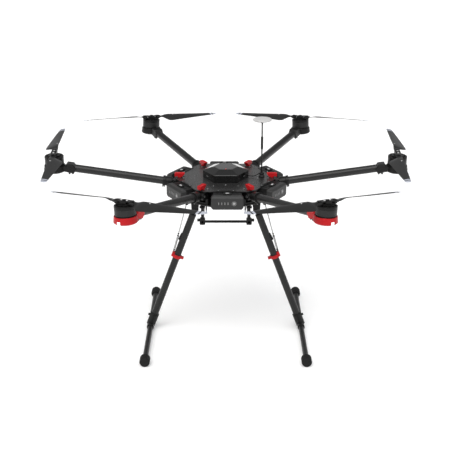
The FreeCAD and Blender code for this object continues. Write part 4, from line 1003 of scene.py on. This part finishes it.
def foot_shape(sign):
    """Rubber foot on a skid's end, ribbed, with its axis along X."""
    end, near = SKID_HALF, SKID_HALF - FOOT_L
    profile = [(near - 7, SKID_R), (near - 7, SKID_R + 2.2), (near - 0.5, FOOT_R - 0.8), (near + 1, FOOT_R)]
    for x in (near + 8, near + 14, near + 20):
        profile += [(x - 1.2, FOOT_R), (x - 0.7, FOOT_R - 0.9), (x + 0.7, FOOT_R - 0.9), (x + 1.2, FOOT_R)]
    profile += [(end - 4.5, FOOT_R), (end - 1.5, FOOT_R - 1.6), (end, FOOT_R - 4.5), (end, 0),
                (end - 4, 0), (end - 4, SKID_R)]
    return moved(turned(profile, 0.0, 56), Matrix.Diagonal((sign, 1, 1, 1)))


def make_leg(side, around):
    """One leg with its skid and feet."""
    pivot, foot, _, lean = leg_frame()
    body = "leg_" + side
    spin = about_z(around)
    hang = Matrix.Translation(pivot) @ Matrix.Rotation(math.radians(90 - lean), 4, "Y")
    piece(body + "_tube", leg_tube(), spin @ MM @ hang, body, "leg", ["leg_" + side])
    shapes = sorted(solids_of("leg_" + side), key=lambda s: -(s[2].z + s[1].z))
    tube = max(shapes, key=lambda s: s[2].z - s[1].z)
    shapes.remove(tube)
    tube[0].free()
    # Merging welds the tube to its knuckle, so the tallest solid is both and neither is taken from
    # it. What is left is the latch, in the piece named knuckle, and the clamp, in that named latch.
    for name, (shape, _, _) in zip(("knuckle", "latch"), shapes):
        paint, slot = ("knob", "lock_red") if name == "latch" else ("gear", "gear_black")
        piece(body + "_" + name, shape, Matrix(), body, paint, even=False)
    for shape, low, high in solids_of("skid_" + side):
        if high.y - low.y > SKID_HALF / 1000 or abs(high.y + low.y) > SKID_HALF / 1000:
            shape.free()
        else:
            piece("skid_%s_tee" % side, shape, Matrix(), body, "gear", even=False)
    along_y = Matrix.Translation(foot) @ about_z(90)
    reach, inner = SKID_HALF - 4, SKID_R - 1.5
    rings = [reach * (k / 8 - 1) for k in range(17)]
    tube = turned([(x, SKID_R) for x in rings] + [(reach, inner), (-reach, inner)], sides=48, closed=True)
    piece("skid_%s_tube" % side, mapped(tube, round_tube), spin @ MM @ along_y, body, "skid",
          ["skid_" + side])
    for end, sign in (("front", -1), ("rear", 1)):
        piece("foot_%s_%s" % (side, end), foot_shape(sign), spin @ MM @ along_y, body, "rubber")


def strut_place(side, around):
    """Place of a spring strut, upright from its lower pin, and its length."""
    low = joint_mm("strut_turn_right")
    high = Vector((SPRING_HOOK[0], 0, SPRING_HOOK[1]))
    lean = math.atan2(high.x - low.x, high.z - low.z)
    place = about_z(around) @ MM @ Matrix.Translation(low) @ Matrix.Rotation(lean, 4, "Y")
    return place, (high - low).length


def coil_shape():
    """Close-wound spring upright on Z."""
    per_turn, wind = 18, COIL_R - WIRE_R
    rings = COIL_TURNS * per_turn + 1
    climb = (COIL_TO - COIL_FROM) / COIL_TURNS

    def rule(ring, turn):
        angle = 2 * math.pi * ring / per_turn
        radius = wind + WIRE_R * math.cos(turn)
        return Vector((radius * math.cos(angle), radius * math.sin(angle),
                       COIL_FROM + climb * ring / per_turn + WIRE_R * math.sin(turn)))

    return skinned(rings, 8, rule)


def strut_rod(length):
    """Pale rod above the ball, with its bail."""
    ring = turned([(-1.3, 5.2), (-0.92, 6.12), (0, 6.5), (0.92, 6.12), (1.3, 5.2), (0.92, 4.28),
                   (0, 3.9), (-0.92, 4.28)], 0, 32, closed=True)
    bail = moved(ring, Matrix.Translation((0, 0, length)) @ about_z(90))
    return joined(rod(2.0, (0, 0, COIL_TO + 12), (0, 0, length - HOOK_BAIL), 0.3, 20), bail)


def strut_ends():
    """Eye, coil seats and ball."""
    eye = moved(turned([(-2.4, 1.9), (-2.4, 3.4), (2.4, 3.4), (2.4, 1.9)], 0.4, 28, closed=True), about_z(90))
    seats = [rod(COIL_R, (0, 0, z), (0, 0, z + 2.2), 0.3, 28) for z in (COIL_FROM - 3.0, COIL_TO + 0.82)]
    ball = bmesh.new()
    bmesh.ops.create_uvsphere(ball, u_segments=24, v_segments=14, radius=3.1,
                              matrix=Matrix.Translation((0, 0, COIL_TO + 10)))
    shank = rod(1.6, (0, 0, 2.6), (0, 0, COIL_FROM), 0.2, 20)
    link = rod(1.6, (0, 0, COIL_TO + 2), (0, 0, COIL_TO + 10), 0.2, 20)
    return joined(eye, shank, link, ball, *seats)


def make_strut(side, around):
    """Spring strut upright from its lower pin, each of its parts with a mesh of its own."""
    place, length = strut_place(side, around)
    node = "spring_strut_" + side
    made = [piece(node + "_coil", coil_shape(), place, node, "spring", [node], even=False),
            piece(node + "_rod", strut_rod(length), place, node, "rod"),
            piece(node + "_ends", strut_ends(), place, node, "gear")]
    for part in made:
        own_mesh(part)


def cut_at(shape, height, keep_low):
    """The part of a closed shape below or above a height, closed again."""
    part = shape.copy()
    bmesh.ops.bisect_plane(part, geom=part.verts[:] + part.edges[:] + part.faces[:], dist=1e-6,
                           plane_co=(0, 0, height), plane_no=(0, 0, 1),
                           clear_outer=keep_low, clear_inner=not keep_low)
    bmesh.ops.holes_fill(part, edges=[e for e in part.edges if e.is_boundary], sides=0)
    return part


def make_gear_mounts():
    """Brackets and retracting motors in black, and the pale feet of their links."""
    black, pale = [], []
    for shape, low, high in solids_of("gear_mounts"):
        if high.y - low.y < LINK_WIDTH_MAX / 1000:
            height = low.z + LINK_PALE_H / 1000
            pale.append(cut_at(shape, height, True))
            whole, shape = shape, cut_at(shape, height, False)
            whole.free()
        black.append(shape)
    piece("gear_mount_brackets", joined(*black), Matrix(), "root", "gear",
          ["gear_mounts"], even=False)
    piece("gear_mount_links", joined(*pale), Matrix(), "root", "link", even=False)


# ---- satellite antenna --------------------------------------------------------------
def make_antenna():
    """Mast and antenna disc."""
    low, high = (corner * 1000 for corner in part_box("gps_antenna"))
    x, top = (low.x + high.x) / 2, high.z
    pivot = joint_mm("mast_fold")
    cup = top - DISC_H
    z, span = pivot.z, cup - pivot.z
    profile = [(z + 3.6, 0), (z + 3.6, 3.8), (z + 13.2, 3.8), (z + 14, 2.3)]
    profile += [(z + GRIP_FROM * span, 2.3), (z + GRIP_FROM * span, 3.6), (z + GRIP_FROM * span + 1, 4.0)]
    profile += [(z + GRIP_TO * span - 1, 4.0), (z + GRIP_TO * span, 3.6), (z + GRIP_TO * span, 2.3)]
    profile += [(cup - 9, 2.3), (cup - 9, 3.0), (cup - 1, 8.5), (cup, 8.5), (cup, 0)]
    stand = Matrix.Translation((x, 0, 0)) @ UPRIGHT
    knuckle = turned([(-3.9, 1.6), (-3.9, 4.6), (3.9, 4.6), (3.9, 1.6)], 0.4, 32, closed=True)
    knuckle = moved(knuckle, Matrix.Translation(pivot))
    piece("gps_mast_rod", joined(moved(turned(profile, 0, 32), stand), knuckle), MM, "gps_mast",
          "mast", ["gps_mast"])
    rim = [(cup, 0), (cup, DISC_R - 2.5), (cup + 0.5, DISC_R - 0.9), (cup + 1.6, DISC_R),
           (cup + 2.6, DISC_R), (cup + 2.75, DISC_R - 0.4), (cup + 2.95, DISC_R - 0.4),
           (cup + 3.1, DISC_R), (top - 2.6, DISC_R), (top - 1.2, DISC_R - 0.7), (top - 0.35, DISC_R - 2.2),
           (top - 0.05, DISC_R - 4.5), (top, DISC_R - 8), (top, 0)]
    piece("gps_antenna_disc", moved(turned(rim, 0, 96), stand), MM, "gps_mast", "antenna",
          ["gps_antenna"])


def make_cable():
    """Lead from the cover to the mast's foot."""
    base = COVER_BASE
    x = joint_mm("mast_fold").x
    route = [(COVER_R - 3, 0, base + 5), (x - 33, -1.5, base + 3.2), (x - 21, -3.0, base + 4.6),
             (x - 12, -1.5, base + 9.5), (x - 5, 0.5, base + 14.5)]
    curve = bpy.data.curves.new("gps_cable_lead", "CURVE")
    curve.dimensions = "3D"
    curve.bevel_depth = CABLE_R / 1000
    curve.bevel_resolution = 6
    curve.resolution_u = 24
    curve.use_fill_caps = True
    spline = curve.splines.new("NURBS")
    spline.points.add(len(route) - 1)
    for point, at in zip(spline.points, route):
        point.co = (*(c / 1000 for c in at), 1)
    spline.order_u = 3
    spline.use_endpoint_u = True
    curve.materials.append(PAINTS["cable"].material)
    lead = linked("gps_cable_lead", curve)
    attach(lead, "root")
    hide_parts("gps_cable")


def make_floor():
    """Pale floor."""
    shape = bmesh.new()
    bmesh.ops.create_grid(shape, x_segments=1, y_segments=1, size=FLOOR_SIZE / 2)
    mesh = bpy.data.meshes.new("floor")
    shape.to_mesh(mesh)
    shape.free()
    floor = linked("floor", mesh)
    paint = moulded("floor", grey(0.80), 0.7, 0.01, 0.0, 0.01, Emission_Color=grey(1.0),
                    Emission_Strength=0.24)
    mesh.materials.append(paint.material)


# ---- whole aircraft -----------------------------------------------------------------
camera_and_light()
make_floor()
make_cable()
make_hub()
for k, name in enumerate(ARM_NAMES):
    make_arm(name, on_arm(name), "arm_" + name)
    make_motor(k, name, "arm_" + name)
    make_knob(k, name)
for k, name in enumerate(BAY_NAMES):
    make_battery(k, name)
for side, around in SIDES.items():
    make_leg(side, around)
    make_strut(side, around)
make_gear_mounts()
make_antenna()
